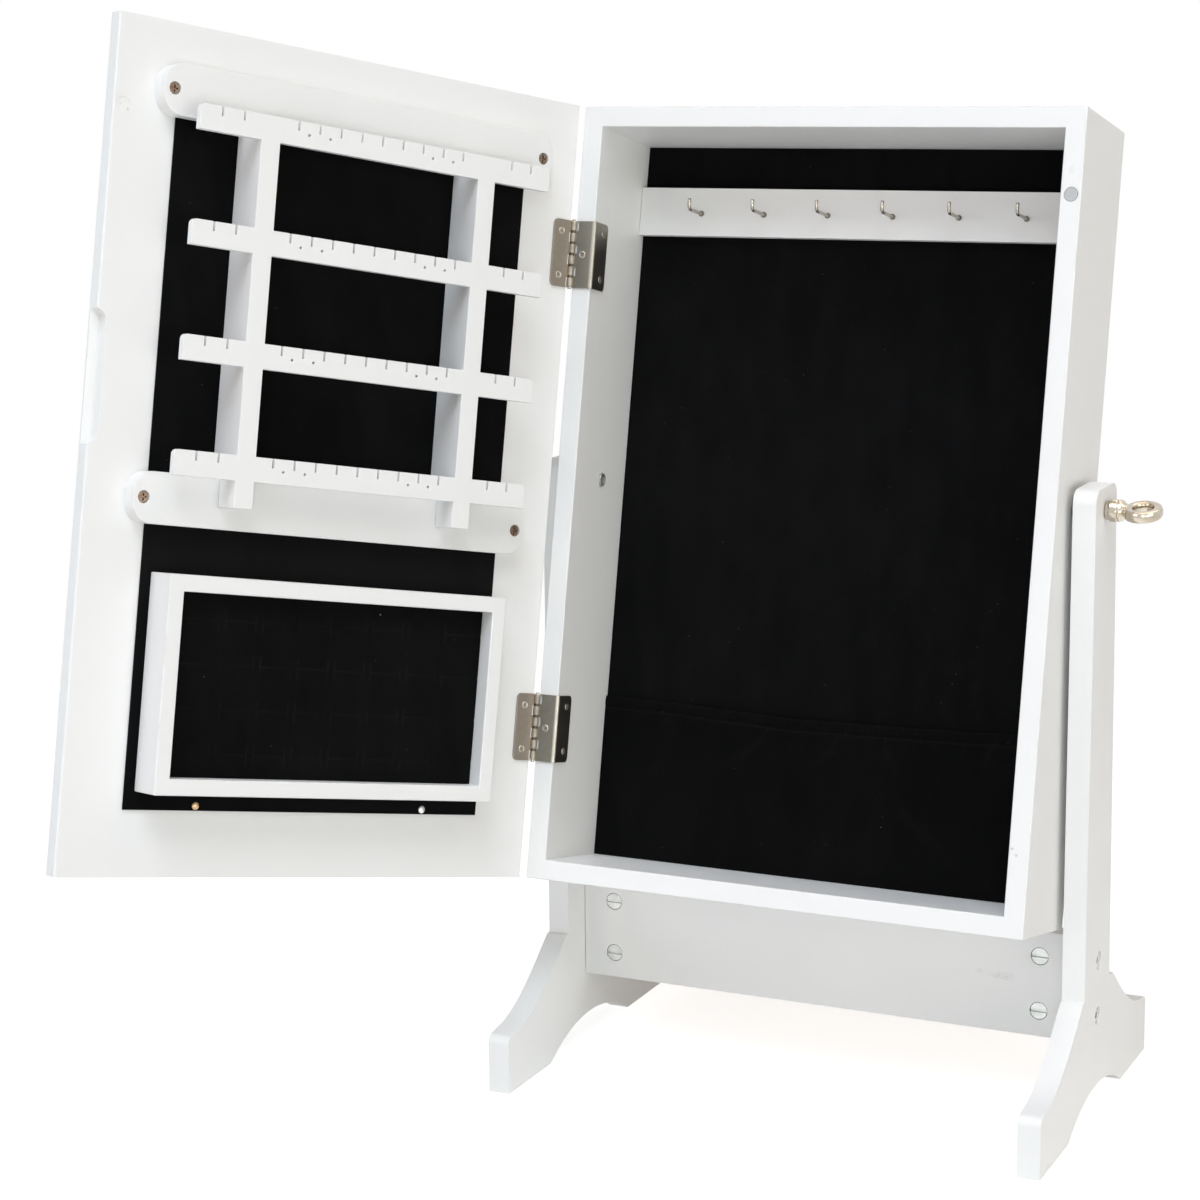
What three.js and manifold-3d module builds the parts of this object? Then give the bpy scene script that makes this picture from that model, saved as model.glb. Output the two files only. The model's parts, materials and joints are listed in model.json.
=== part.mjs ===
// Tabletop jewelry armoire: a shallow cabinet that tilts between two uprights on ring knobs,
// with a mirror door that opens on wrap-around hinges. Millimetres, +Z up, front towards -Y.
import * as THREE from 'three';
import { mergeVertices } from 'three/addons/utils/BufferGeometryUtils.js';
import Module from 'manifold-3d';

const wasm = await Module();
wasm.setup();

// Pose at rest
const cabinetTilt = THREE.MathUtils.degToRad(11.9);
const doorOpening = THREE.MathUtils.degToRad(117.8);

// Fits shared by every piece, and how far a cutter runs past what it cuts
const seatGap = 0.3;
const shaftClearance = 0.1;
const overcut = 1;

// Facets of round pieces and holes
const largeRound = 20;
const mediumRound = 16;
const smallRound = 12;
const tinyRound = 10;
const pocketFrontSegments = 10;
const hookWireSteps = 12;
const hookWireSides = 4;

// Screws: what is left of the thread at its point, the point's length and the head's rim
const screwPointShare = 0.4;
const screwPointTaper = 1.5;
const screwHeadEdgeShare = 0.3;

// Cabinet
const cabinetWidth = 320;
const cabinetHeight = 482;
const cabinetDepth = 85.5;
const boardThickness = 12.5;
const boardEdgeRadius = 1.2;
const backRecess = 8;
const backThickness = 3;
const velvetThickness = 1.2;

// Pivot line of the tilt, from the cabinet's front face and from its underside
const pivotFromFront = 39.3;
const pivotFromBottom = 252.3;
const pivotHeight = 375.5;

// Hook bar and hooks
const hookBarHeight = 30.4;
const hookBarThickness = 6;
const hookBarFromTop = 39.6;
const hookCount = 6;
const hookPitch = 42.7;
const hookRowOffset = 2.2;
const hookReach = 21.5;
const hookRise = 6.5;
const hookWireRadius = 1.1;
const hookBendRadius = 3;
const hookCollarRadius = 1.8;
const hookCollarThickness = 1.2;
const hookShankLength = 4;
const hookDrop = 1.2;

// Pocket across the foot of the back: its front hangs slack between its sewn ends
const pocketHeight = 102;
const pocketSlack = 7.5;
const pocketAtEnds = 2.5;
const pocketClothThickness = 1.2;

// Magnet and strike plate
const magnetRadius = 4;
const magnetLength = 5;
const magnetFromTop = 51;
const strikeThickness = 1;

// Door
const doorThickness = 10.5;
const doorGap = 3.1;
const pinOutset = 1.1;
const mirrorBorder = 30;
const mirrorThickness = 2;
const mirrorSetback = 0.9;
const mirrorBevel = 2.4;
const scoopDepth = 8;
const scoopWidth = 6;
const scoopLength = 76;
const scoopFromBottom = 241;
const scoopCutterRadius = 7;

// Door lining
const liningWidth = 242.2;
const liningFromBottom = 38.5;
const liningUnderRail = 14.5;
const liningScrewRadius = 2.5;
const liningScrewRise = 1.4;
const liningScrewInset = 2.9;
const liningScrewSpacing = 155.9;
const liningScrewOffset = -2.7;
const liningScrewThread = 1.1;
const liningScrewLength = 6;

// Rails and their screws
const railPastLining = 13.4;
const railHeight = 29.6;
const railFront = 10.5;
const railCornerRadius = 12;
const upperRailFromTop = 23.9;
const lowerRailBottom = 199.9;
const railScrewHeadRadius = 3.3;
const railScrewHeadHeight = 2.4;
const railScrewThread = 1.7;
const railScrewLength = 13;
const railScrewRecess = 1;
const crossRecessWidth = 1;
const crossRecessLength = 4.4;
const crossRecessDepth = 1.4;

// Earring strips
const stripCount = 4;
const lowestStripAboveRail = 28.1;
const highestStripBelowRail = 8;
const stripInsideLining = 0.6;
const stripHeight = 14.5;
const stripThickness = 4.4;
const stripFront = 28.3;
const stripCornerRadius = 3;
const kerfPitchesPerStrip = 16.97;
const kerfWidth = 1.3;
const kerfDepth = 5.6;
const innerKerfReach = 4;
const outerKerfSteps = [6.5, 7.5];
const studHoleSteps = [2.5, 3.5];
const studHoleRadius = 0.9;

// Posts that carry the strips
const postWidth = 12.3;
const postAtKerfStep = 5.25;
const postOverLowerRail = 17;
const postOverUpperRail = 2.8;
const postCornerRadius = 4;

// Ring box
const ringBoxInsideLining = 5.9;
const ringBoxHeight = 124.1;
const ringBoxBottom = 49.1;
const ringBoxWall = 9.5;
const ringBoxFront = 25;
const ringPadFront = 16;

// Hinges
const hingeHeight = 42;
const lowerHingeFromBottom = 94;
const upperHingeFromTop = 92.5;
const knuckleCount = 6;
const knuckleRadius = 2;
const knuckleClearance = 0.3;
const knuckleGap = 1.2;
const leafCutBesideKnuckle = 1.2;
const hingePinRadius = 1;
const hingePinHead = 1.6;
const hingePinHeadHeight = 0.7;
const hingePinCrown = 1;
const leafThickness = 1;
const leafCornerRadius = 3;
const leafScrewRadius = 1.6;
const doorLeafWidth = 13.5;
const doorLeafScrewFromEdge = 7.5;
const doorLeafScrewSpacing = 27.4;
const wrapLength = 17.5;
const wrapScrewDepth = 11;
const wrapScrewSpacing = 28;

// Stand
const sideClearance = 4.5;
const uprightThickness = 14;
const uprightAbovePivot = 13.6;
const uprightCornerRadius = 8.5;
const uprightFront = 21.2;
const uprightBackAtTop = 24;
const uprightBackAtFoot = 36;
const footLength = 239;
const footSetback = 10;
const footShoulderHeight = 79;
const footShoulderLength = 68.4;
const footToeHeight = 37.6;
const footToeRadius = 6;
const coveStartHandle = new THREE.Vector2(36, 29);
const coveEndHandle = new THREE.Vector2(27.5, 2);
const archLength = 120;
const archRise = 17;

// Stretcher and its connectors
const stretcherThickness = 13;
const stretcherHeight = 67.3;
const stretcherBottom = 45.3;
const connectorFromBottom = [16.3, 51.3];
const barrelNutInset = 21.2;
const barrelNutRadius = 5.4;
const barrelNutLength = 11;
const barrelNutSlotWidth = 1.6;
const barrelNutSlotDepth = 1.2;
const boltRadius = 3;
const boltHeadRadius = 5.2;
const boltHeadHeight = 4;
const boltHeadRecess = 1;
const boltSocketRadius = 2.4;
const boltSocketDepth = 2.4;
const boltPastNut = 8;

// Ring knobs, threaded inserts and spacer washers
const studRadius = 3;
const insertRadius = 4;
const insertPastWall = 1;
const studShortOfWall = 2;
const washerRadius = 8;
const knobCollarRadius = 5.75;
const knobCollarLength = 2.6;
const knobBeadRadius = 6.75;
const knobBeadLength = 5;
const knobNeckRadius = 4.2;
const knobNeckTaper = 1;
const knobRingReach = 33.6;
const knobRingWidth = 26;
const knobRingThickness = 7;
const knobHoleFrom = 16.5;
const knobHoleLength = 11.5;
const knobHoleWidth = 14;
const knobRingRounding = 2.2;

// Materials
const paint = new THREE.MeshStandardMaterial({ color: 0xeeeeec, roughness: 0.35, metalness: 0 });
const velvet = new THREE.MeshStandardMaterial({ color: 0x101012, roughness: 1, metalness: 0 });
const nickel = new THREE.MeshStandardMaterial({ color: 0xa89f92, roughness: 0.25, metalness: 1 });
const zinc = new THREE.MeshStandardMaterial({ color: 0xb4b4b2, roughness: 0.45, metalness: 1 });
const brass = new THREE.MeshStandardMaterial({ color: 0xb08d4c, roughness: 0.35, metalness: 1 });
const glass = new THREE.MeshStandardMaterial({ color: 0xdfe5e8, roughness: 0.03, metalness: 1 });
const darkPlastic = new THREE.MeshStandardMaterial({ color: 0x3a3a3a, roughness: 0.6, metalness: 0.4 });

// Sizes worked out from the ones above
const halfWidth = cabinetWidth / 2;
const innerWall = halfWidth - boardThickness;
const uprightInner = halfWidth + sideClearance;
const uprightOuter = uprightInner + uprightThickness;
const uprightTop = pivotHeight + uprightAbovePivot;
const stretcherFront = footSetback - stretcherThickness / 2;
const pinX = -halfWidth - pinOutset;
const pinY = -doorGap / 2;
const knucklePitch = hingeHeight / knuckleCount;
const knuckleBore = hingePinRadius + shaftClearance;
const velvetFront = cabinetDepth - backRecess - backThickness - seatGap - velvetThickness;
const hookBarBottom = cabinetHeight - hookBarFromTop - hookBarHeight;
const hookBarFront = velvetFront - seatGap - hookBarThickness;
const magnetZ = cabinetHeight - magnetFromTop;
const magnetX = halfWidth - boardThickness / 2;
const doorHingeEdgeX = pinX + pinOutset;
const doorWidth = cabinetWidth;
const doorHeight = cabinetHeight;
const doorMiddle = doorWidth / 2;
const liningFront = seatGap + velvetThickness;
const onLining = liningFront + seatGap;
const liningLeft = doorMiddle - liningWidth / 2;
const liningRight = doorMiddle + liningWidth / 2;
const upperRailBottom = doorHeight - upperRailFromTop - railHeight;
const liningTop = upperRailBottom + liningUnderRail;
const stripBack = stripFront - stripThickness;
const stripWidth = liningWidth - 2 * stripInsideLining;
const kerfPitch = stripWidth / kerfPitchesPerStrip;
const postSpacing = 2 * postAtKerfStep * kerfPitch;
const ringBoxWidth = liningWidth - 2 * ringBoxInsideLining;
const postBottom = lowerRailBottom + railHeight - postOverLowerRail;
const postTop = upperRailBottom + postOverUpperRail;
const hingeMiddles = [lowerHingeFromBottom, cabinetHeight - upperHingeFromTop];

// ---------------------------------------------------------------- geometry helpers

function toSolid(geometry) {
  const bare = geometry.clone();
  bare.deleteAttribute('normal');
  bare.deleteAttribute('uv');
  const welded = mergeVertices(bare, 1e-4);
  return new wasm.Manifold(new wasm.Mesh({
    numProp: 3,
    vertProperties: Float32Array.from(welded.attributes.position.array),
    triVerts: Uint32Array.from(welded.index.array),
  }));
}

function toGeometry(solid) {
  const mesh = solid.getMesh();
  const geometry = new THREE.BufferGeometry();
  geometry.setAttribute('position', new THREE.BufferAttribute(mesh.vertProperties, 3));
  geometry.setIndex(new THREE.BufferAttribute(mesh.triVerts, 1));
  geometry.computeVertexNormals();
  return geometry;
}

function cut(geometry, tools) {
  return toGeometry(tools.reduce((solid, tool) => solid.subtract(toSolid(tool)), toSolid(geometry)));
}

function join(geometries) {
  const [first, ...others] = geometries.map(toSolid);
  return toGeometry(others.reduce((solid, other) => solid.add(other), first));
}

function common(geometry, other) {
  return toGeometry(toSolid(geometry).intersect(toSolid(other)));
}

function box(low, high) {
  const size = high.map((value, axis) => value - low[axis]);
  const centre = high.map((value, axis) => (value + low[axis]) / 2);
  return new THREE.BoxGeometry(...size).translate(...centre);
}

function rod(radius, from, to, segments = mediumRound) {
  const start = new THREE.Vector3(...from);
  const end = new THREE.Vector3(...to);
  const along = end.clone().sub(start);
  const turn = new THREE.Quaternion().setFromUnitVectors(
    new THREE.Vector3(0, 1, 0),
    along.clone().normalize(),
  );
  const geometry = new THREE.CylinderGeometry(radius, radius, along.length(), segments);
  geometry.applyQuaternion(turn);
  return geometry.translate(...start.lerp(end, 0.5).toArray());
}

// A solid of revolution about the Z axis, from a profile of [radius, height] points.
function revolve(profile, segments = largeRound) {
  const points = profile.map(([radius, height]) => new THREE.Vector2(radius, height));
  return new THREE.LatheGeometry(points, segments).rotateX(Math.PI / 2);
}

// The arc that rounds a corner between its two neighbours, all given as [x, y, ...].
function fillet(before, corner, after, radius) {
  const point = new THREE.Vector2(corner[0], corner[1]);
  const toBefore = new THREE.Vector2(before[0], before[1]).sub(point).normalize();
  const toAfter = new THREE.Vector2(after[0], after[1]).sub(point).normalize();
  const halfAngle = toBefore.angleTo(toAfter) / 2;
  const bisector = toBefore.clone().add(toAfter).normalize();
  return {
    start: point.clone().addScaledVector(toBefore, radius / Math.tan(halfAngle)),
    end: point.clone().addScaledVector(toAfter, radius / Math.tan(halfAngle)),
    centre: point.clone().addScaledVector(bisector, radius / Math.sin(halfAngle)),
    clockwise: toBefore.cross(toAfter) > 0,
  };
}

function roundCorner(path, before, corner, after, radius) {
  const { start, end, centre, clockwise } = fillet(before, corner, after, radius);
  path.lineTo(start.x, start.y);
  if (radius > 0) {
    const startAngle = start.sub(centre).angle();
    const endAngle = end.sub(centre).angle();
    path.absarc(centre.x, centre.y, radius, startAngle, endAngle, clockwise);
  }
}

// Draws a polygon whose corners are [x, y, radius], a missing radius being a sharp corner.
function roundedOutline(corners) {
  const path = new THREE.Shape();
  corners.forEach((corner, index) => {
    const before = corners.at(index - 1);
    const after = corners[(index + 1) % corners.length];
    const radius = corner[2] ?? 0;
    if (index === 0) {
      const { start } = fillet(before, corner, after, radius);
      path.moveTo(start.x, start.y);
    }
    roundCorner(path, before, corner, after, radius);
  });
  path.closePath();
  return path;
}

function rectangle(x0, y0, x1, y1, radius = 0) {
  return roundedOutline([[x0, y0, radius], [x1, y0, radius], [x1, y1, radius], [x0, y1, radius]]);
}

// Extrudes an outline drawn in plan, upwards from a height.
function planPlate(shape, bottom, height, curveSegments = 2) {
  const options = { depth: height, bevelEnabled: false, curveSegments };
  return new THREE.ExtrudeGeometry(shape, options).translate(0, 0, bottom);
}

// Extrudes an outline drawn in front view, X and Z, from its front plane back to its rear plane.
function frontPlate(shape, front, back, curveSegments = 2) {
  const options = { depth: back - front, bevelEnabled: false, curveSegments };
  return new THREE.ExtrudeGeometry(shape, options).rotateX(Math.PI / 2).translate(0, back, 0);
}

// Extrudes an outline drawn in side view, Y and Z, from one X plane to another.
function sidePlate(shape, left, right, curveSegments = 2) {
  const options = { depth: right - left, bevelEnabled: false, curveSegments };
  const toSide = new THREE.Matrix4().makeBasis(
    new THREE.Vector3(0, 1, 0),
    new THREE.Vector3(0, 0, 1),
    new THREE.Vector3(1, 0, 0),
  );
  return new THREE.ExtrudeGeometry(shape, options).applyMatrix4(toSide).translate(left, 0, 0);
}

function addPiece(group, name, geometry, material) {
  const mesh = new THREE.Mesh(geometry, material);
  mesh.name = name;
  group.add(mesh);
}

// A countersunk cross-head screw whose head faces +Z at the origin.
function crossHeadScrew(headRadius, headHeight, threadRadius, length) {
  const body = revolve([
    [0, -length],
    [threadRadius * screwPointShare, -length],
    [threadRadius, -length + threadRadius * screwPointTaper],
    [threadRadius, -headHeight],
    [headRadius, -headHeight * screwHeadEdgeShare],
    [headRadius, 0],
    [0, 0],
  ], tinyRound);
  const half = crossRecessLength / 2;
  const thin = crossRecessWidth / 2;
  return cut(body, [
    box([-half, -thin, -crossRecessDepth], [half, thin, overcut]),
    box([-thin, -half, -crossRecessDepth], [thin, half, overcut]),
  ]);
}

// ---------------------------------------------------------------- stand

const stand = new THREE.Group();

function uprightOutline() {
  const front = footSetback - footLength / 2;
  const back = footSetback + footLength / 2;
  const shoulderFront = footSetback - footShoulderLength / 2;
  const shoulderBack = footSetback + footShoulderLength / 2;
  const archRadius = (archLength ** 2 / 4 + archRise ** 2) / (2 * archRise);
  const archAngle = Math.asin(archLength / 2 / archRadius);
  const shape = new THREE.Shape();
  shape.moveTo(front, 0);
  shape.lineTo(footSetback - archLength / 2, 0);
  shape.absarc(
    footSetback,
    archRise - archRadius,
    archRadius,
    Math.PI / 2 + archAngle,
    Math.PI / 2 - archAngle,
    true,
  );
  shape.lineTo(back, 0);
  shape.absarc(
    back - footToeRadius,
    footToeHeight - footToeRadius,
    footToeRadius,
    0,
    Math.PI / 2,
    false,
  );
  shape.bezierCurveTo(
    back - footToeRadius - coveEndHandle.x,
    footToeHeight + coveEndHandle.y,
    shoulderBack + coveStartHandle.x,
    footShoulderHeight - coveStartHandle.y,
    shoulderBack,
    footShoulderHeight,
  );
  shape.lineTo(uprightBackAtFoot, footShoulderHeight);
  const backFoot = [uprightBackAtFoot, footShoulderHeight];
  const backTop = [uprightBackAtTop, uprightTop];
  const frontTop = [-uprightFront, uprightTop];
  const frontFoot = [-uprightFront, footShoulderHeight];
  roundCorner(shape, backFoot, backTop, frontTop, uprightCornerRadius);
  roundCorner(shape, backTop, frontTop, frontFoot, uprightCornerRadius);
  shape.lineTo(-uprightFront, footShoulderHeight);
  shape.lineTo(shoulderFront, footShoulderHeight);
  shape.bezierCurveTo(
    shoulderFront - coveStartHandle.x,
    footShoulderHeight - coveStartHandle.y,
    front + footToeRadius + coveEndHandle.x,
    footToeHeight + coveEndHandle.y,
    front + footToeRadius,
    footToeHeight,
  );
  shape.absarc(
    front + footToeRadius,
    footToeHeight - footToeRadius,
    footToeRadius,
    Math.PI / 2,
    Math.PI,
    false,
  );
  shape.closePath();
  return shape;
}

function upright(side) {
  const planes = [side * uprightInner, side * uprightOuter].sort((a, b) => a - b);
  const board = sidePlate(uprightOutline(), planes[0], planes[1], 6);
  const inside = side * (uprightInner - overcut);
  const outside = side * (uprightOuter + overcut);
  const tools = [
    rod(studRadius + seatGap, [inside, 0, pivotHeight], [outside, 0, pivotHeight], largeRound),
  ];
  const counterboreFloor = side * (uprightOuter - boltHeadHeight - boltHeadRecess - seatGap);
  for (const rise of connectorFromBottom) {
    const z = stretcherBottom + rise;
    tools.push(rod(boltRadius + seatGap, [inside, footSetback, z], [outside, footSetback, z], mediumRound));
    tools.push(rod(
      boltHeadRadius + 2 * seatGap,
      [counterboreFloor, footSetback, z],
      [outside, footSetback, z],
      largeRound,
    ));
  }
  return cut(board, tools);
}

function stretcher() {
  const end = uprightInner - seatGap;
  const outline = rectangle(-end, stretcherBottom, end, stretcherBottom + stretcherHeight);
  const back = stretcherFront + stretcherThickness;
  const nutHoleFloor = stretcherFront + barrelNutLength + seatGap;
  const tools = [];
  for (const side of [-1, 1]) {
    const nutX = side * (uprightInner - barrelNutInset);
    for (const rise of connectorFromBottom) {
      const z = stretcherBottom + rise;
      tools.push(rod(
        barrelNutRadius + seatGap,
        [nutX, stretcherFront - overcut, z],
        [nutX, nutHoleFloor, z],
        mediumRound,
      ));
      tools.push(rod(
        boltRadius + seatGap,
        [side * (end + overcut), footSetback, z],
        [nutX - side * (boltPastNut + seatGap), footSetback, z],
        tinyRound,
      ));
    }
  }
  return cut(frontPlate(outline, stretcherFront, back), tools);
}

function barrelNut(side, rise) {
  const x = side * (uprightInner - barrelNutInset);
  const z = stretcherBottom + rise;
  const front = stretcherFront + seatGap;
  const half = barrelNutSlotWidth / 2;
  const past = barrelNutRadius + overcut;
  const body = rod(barrelNutRadius, [x, front, z], [x, stretcherFront + barrelNutLength, z], largeRound);
  return cut(body, [
    rod(boltRadius + shaftClearance, [x - past, footSetback, z], [x + past, footSetback, z], mediumRound),
    box([x - past, front - overcut, z - half], [x + past, front + barrelNutSlotDepth, z + half]),
  ]);
}

function connectorBolt(side, rise) {
  const z = stretcherBottom + rise;
  const headOuter = uprightOuter - boltHeadRecess;
  const headInner = headOuter - boltHeadHeight;
  const tip = uprightInner - barrelNutInset - boltPastNut;
  const body = join([
    rod(boltHeadRadius, [side * headInner, footSetback, z], [side * headOuter, footSetback, z], largeRound),
    rod(
      boltRadius,
      [side * tip, footSetback, z],
      [side * (headInner + overcut), footSetback, z],
      mediumRound,
    ),
  ]);
  return cut(body, [rod(
    boltSocketRadius,
    [side * (headOuter - boltSocketDepth), footSetback, z],
    [side * (headOuter + overcut), footSetback, z],
    6,
  )]);
}

function spacerWasher(side) {
  const inner = side * (halfWidth + seatGap);
  const outer = side * (uprightInner - seatGap);
  return cut(rod(washerRadius, [inner, 0, pivotHeight], [outer, 0, pivotHeight], largeRound), [
    rod(
      studRadius + seatGap,
      [inner - side * overcut, 0, pivotHeight],
      [outer + side * overcut, 0, pivotHeight],
      mediumRound,
    ),
  ]);
}

const sides = [['left', -1], ['right', 1]];
for (const [sideName, side] of sides) {
  addPiece(stand, `${sideName}_upright`, upright(side), paint);
  addPiece(stand, `${sideName}_spacer_washer`, spacerWasher(side), darkPlastic);
  connectorFromBottom.forEach((rise, index) => {
    const level = ['lower', 'upper'][index];
    addPiece(stand, `${sideName}_${level}_barrel_nut`, barrelNut(side, rise), zinc);
    addPiece(stand, `${sideName}_${level}_connector_bolt`, connectorBolt(side, rise), zinc);
  });
}
addPiece(stand, 'stretcher', stretcher(), paint);

// ---------------------------------------------------------------- ring knobs

// The knob stands on the +Z axis with its collar's foot at the origin, and its stud runs below.
function knobBody() {
  const studLength = uprightThickness + sideClearance + boardThickness - studShortOfWall;
  const beadFoot = knobCollarLength;
  const groove = beadFoot + knobBeadLength;
  const beadTop = groove + knobBeadLength;
  const chamfer = 0.8;
  return revolve([
    [0, -studLength],
    [studRadius - chamfer, -studLength],
    [studRadius, -studLength + chamfer],
    [studRadius, seatGap],
    [knobCollarRadius - chamfer, seatGap],
    [knobCollarRadius, seatGap + chamfer],
    [knobCollarRadius, beadFoot - chamfer / 2],
    [knobBeadRadius - chamfer, beadFoot],
    [knobBeadRadius, beadFoot + chamfer],
    [knobBeadRadius, groove - chamfer],
    [knobBeadRadius - chamfer / 2, groove],
    [knobBeadRadius, groove + chamfer],
    [knobBeadRadius - chamfer / 2, groove + knobBeadLength / 2],
    [knobNeckRadius, beadTop],
    [knobNeckRadius - knobNeckTaper, knobHoleFrom - knobNeckTaper],
    [0, knobHoleFrom - knobNeckTaper],
  ], smallRound);
}

// The flat ring lies in the plane of X and Z, so that it is level once the knob is on its side.
function knobRing() {
  const near = knobHoleFrom - (knobRingReach - knobHoleFrom - knobHoleLength);
  const shape = new THREE.Shape();
  shape.absellipse(
    0,
    (near + knobRingReach) / 2,
    knobRingWidth / 2,
    (knobRingReach - near) / 2,
    0,
    Math.PI * 2,
    false,
  );
  const hole = new THREE.Path();
  hole.absellipse(
    0,
    knobHoleFrom + knobHoleLength / 2,
    knobHoleWidth / 2,
    knobHoleLength / 2,
    0,
    Math.PI * 2,
    true,
  );
  shape.holes.push(hole);
  const geometry = new THREE.ExtrudeGeometry(shape, {
    depth: knobRingThickness - 2 * knobRingRounding,
    bevelThickness: knobRingRounding,
    bevelSize: knobRingRounding,
    bevelOffset: -knobRingRounding,
    bevelSegments: 2,
    curveSegments: 9,
  });
  geometry.translate(0, 0, -(knobRingThickness / 2 - knobRingRounding));
  return geometry.rotateX(Math.PI / 2);
}

function ringKnob(side) {
  const upFromStand = join([knobBody(), knobRing()]);
  const outwards = new THREE.Matrix4().makeBasis(
    new THREE.Vector3(0, side, 0),
    new THREE.Vector3(0, 0, 1),
    new THREE.Vector3(side, 0, 0),
  );
  return upFromStand.applyMatrix4(outwards).translate(side * uprightOuter, 0, pivotHeight);
}

const knobs = new THREE.Group();
for (const [sideName, side] of sides) {
  addPiece(knobs, `${sideName}_ring_knob`, ringKnob(side), nickel);
}

// ---------------------------------------------------------------- cabinet

// Cabinet pieces are placed from the middle of the cabinet's front face, at its underside.
const cabinet = new THREE.Group();
cabinet.position.set(0, -pivotFromFront, -pivotFromBottom);

function sideBoard(side) {
  const edges = [side * innerWall, side * halfWidth].sort((a, b) => a - b);
  const outline = rectangle(edges[0], 0, edges[1], cabinetDepth, boardEdgeRadius);
  const board = planPlate(outline, 0, cabinetHeight);
  const tools = [rod(
    insertRadius + seatGap,
    [edges[0] - overcut, pivotFromFront, pivotFromBottom],
    [edges[1] + overcut, pivotFromFront, pivotFromBottom],
    largeRound,
  )];
  if (side > 0) {
    tools.push(rod(
      magnetRadius + seatGap,
      [magnetX, -overcut, magnetZ],
      [magnetX, magnetLength + 2 * seatGap, magnetZ],
      largeRound,
    ));
  }
  return cut(board, tools);
}

function crossBoard(bottom) {
  const end = innerWall - seatGap;
  const outline = rectangle(0, bottom, cabinetDepth, bottom + boardThickness, boardEdgeRadius);
  return sidePlate(outline, -end, end);
}

function threadedInsert(side) {
  const inner = side * (innerWall - insertPastWall);
  const outer = side * (halfWidth - seatGap);
  const body = rod(
    insertRadius,
    [inner, pivotFromFront, pivotFromBottom],
    [outer, pivotFromFront, pivotFromBottom],
    largeRound,
  );
  return cut(body, [rod(
    studRadius + shaftClearance,
    [inner - side * overcut, pivotFromFront, pivotFromBottom],
    [outer + side * overcut, pivotFromFront, pivotFromBottom],
    largeRound,
  )]);
}

// A sheet that fills the inside of the cabinet from wall to wall.
function innerSheet(front, thickness) {
  const margin = boardThickness + seatGap;
  return box(
    [-innerWall + seatGap, front, margin],
    [innerWall - seatGap, front + thickness, cabinetHeight - margin],
  );
}

// The front of the pocket seen from above: a slack curve from wall to wall, this far inside.
function pocketPlan(inset, back) {
  const end = innerWall - seatGap - inset;
  const sewn = velvetFront - seatGap + inset;
  const shape = new THREE.Shape();
  shape.moveTo(end, back);
  shape.lineTo(end, sewn - pocketAtEnds);
  shape.quadraticCurveTo(0, sewn - 2 * pocketSlack + pocketAtEnds, -end, sewn - pocketAtEnds);
  shape.lineTo(-end, back);
  shape.closePath();
  return shape;
}

function velvetPocket() {
  const foot = boardThickness + seatGap;
  const outside = planPlate(
    pocketPlan(0, velvetFront - seatGap),
    foot,
    pocketHeight,
    pocketFrontSegments,
  );
  const inside = planPlate(
    pocketPlan(pocketClothThickness, velvetFront + overcut),
    foot + pocketClothThickness,
    pocketHeight,
    pocketFrontSegments,
  );
  return cut(outside, [inside]);
}

const hookZ = hookBarBottom + hookBarHeight / 2 - hookDrop;
const hookPlaces = Array.from(
  { length: hookCount },
  (_, index) => hookRowOffset + (index - (hookCount - 1) / 2) * hookPitch,
);

function hookBar() {
  const bar = box(
    [-innerWall + seatGap, hookBarFront, hookBarBottom],
    [innerWall - seatGap, hookBarFront + hookBarThickness, hookBarBottom + hookBarHeight],
  );
  return cut(bar, hookPlaces.map((x) => rod(
    hookWireRadius + seatGap,
    [x, hookBarFront - overcut, hookZ],
    [x, hookBarFront + hookShankLength + seatGap, hookZ],
    tinyRound,
  )));
}

function screwHook(x) {
  const tipY = hookBarFront - hookReach;
  const path = new THREE.CurvePath();
  const shankEnd = new THREE.Vector3(x, hookBarFront + hookShankLength, hookZ);
  const bendStart = new THREE.Vector3(x, tipY + hookBendRadius, hookZ);
  const bendCorner = new THREE.Vector3(x, tipY, hookZ);
  const bendEnd = new THREE.Vector3(x, tipY, hookZ + hookBendRadius);
  const tip = new THREE.Vector3(x, tipY, hookZ + hookRise);
  path.add(new THREE.LineCurve3(shankEnd, bendStart));
  path.add(new THREE.QuadraticBezierCurve3(bendStart, bendCorner, bendEnd));
  path.add(new THREE.LineCurve3(bendEnd, tip));
  const section = new THREE.Shape();
  section.absarc(0, 0, hookWireRadius, 0, Math.PI * 2, false);
  const wire = new THREE.ExtrudeGeometry(section, {
    steps: hookWireSteps,
    extrudePath: path,
    curveSegments: hookWireSides,
  });
  const collar = rod(
    hookCollarRadius,
    [x, hookBarFront - seatGap - hookCollarThickness, hookZ],
    [x, hookBarFront - seatGap, hookZ],
    tinyRound,
  );
  return join([wire, collar]);
}

// ---------------------------------------------------------------- hinges

// Knuckle places along one hinge from its top down; even places belong to the door leaf.
function knuckles(middle, ofDoor) {
  const places = Array.from({ length: knuckleCount }, (_, index) => index);
  return places
    .filter((index) => (index % 2 === 0) === ofDoor)
    .map((index) => middle + hingeHeight / 2 - (index + 0.5) * knucklePitch);
}

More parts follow.
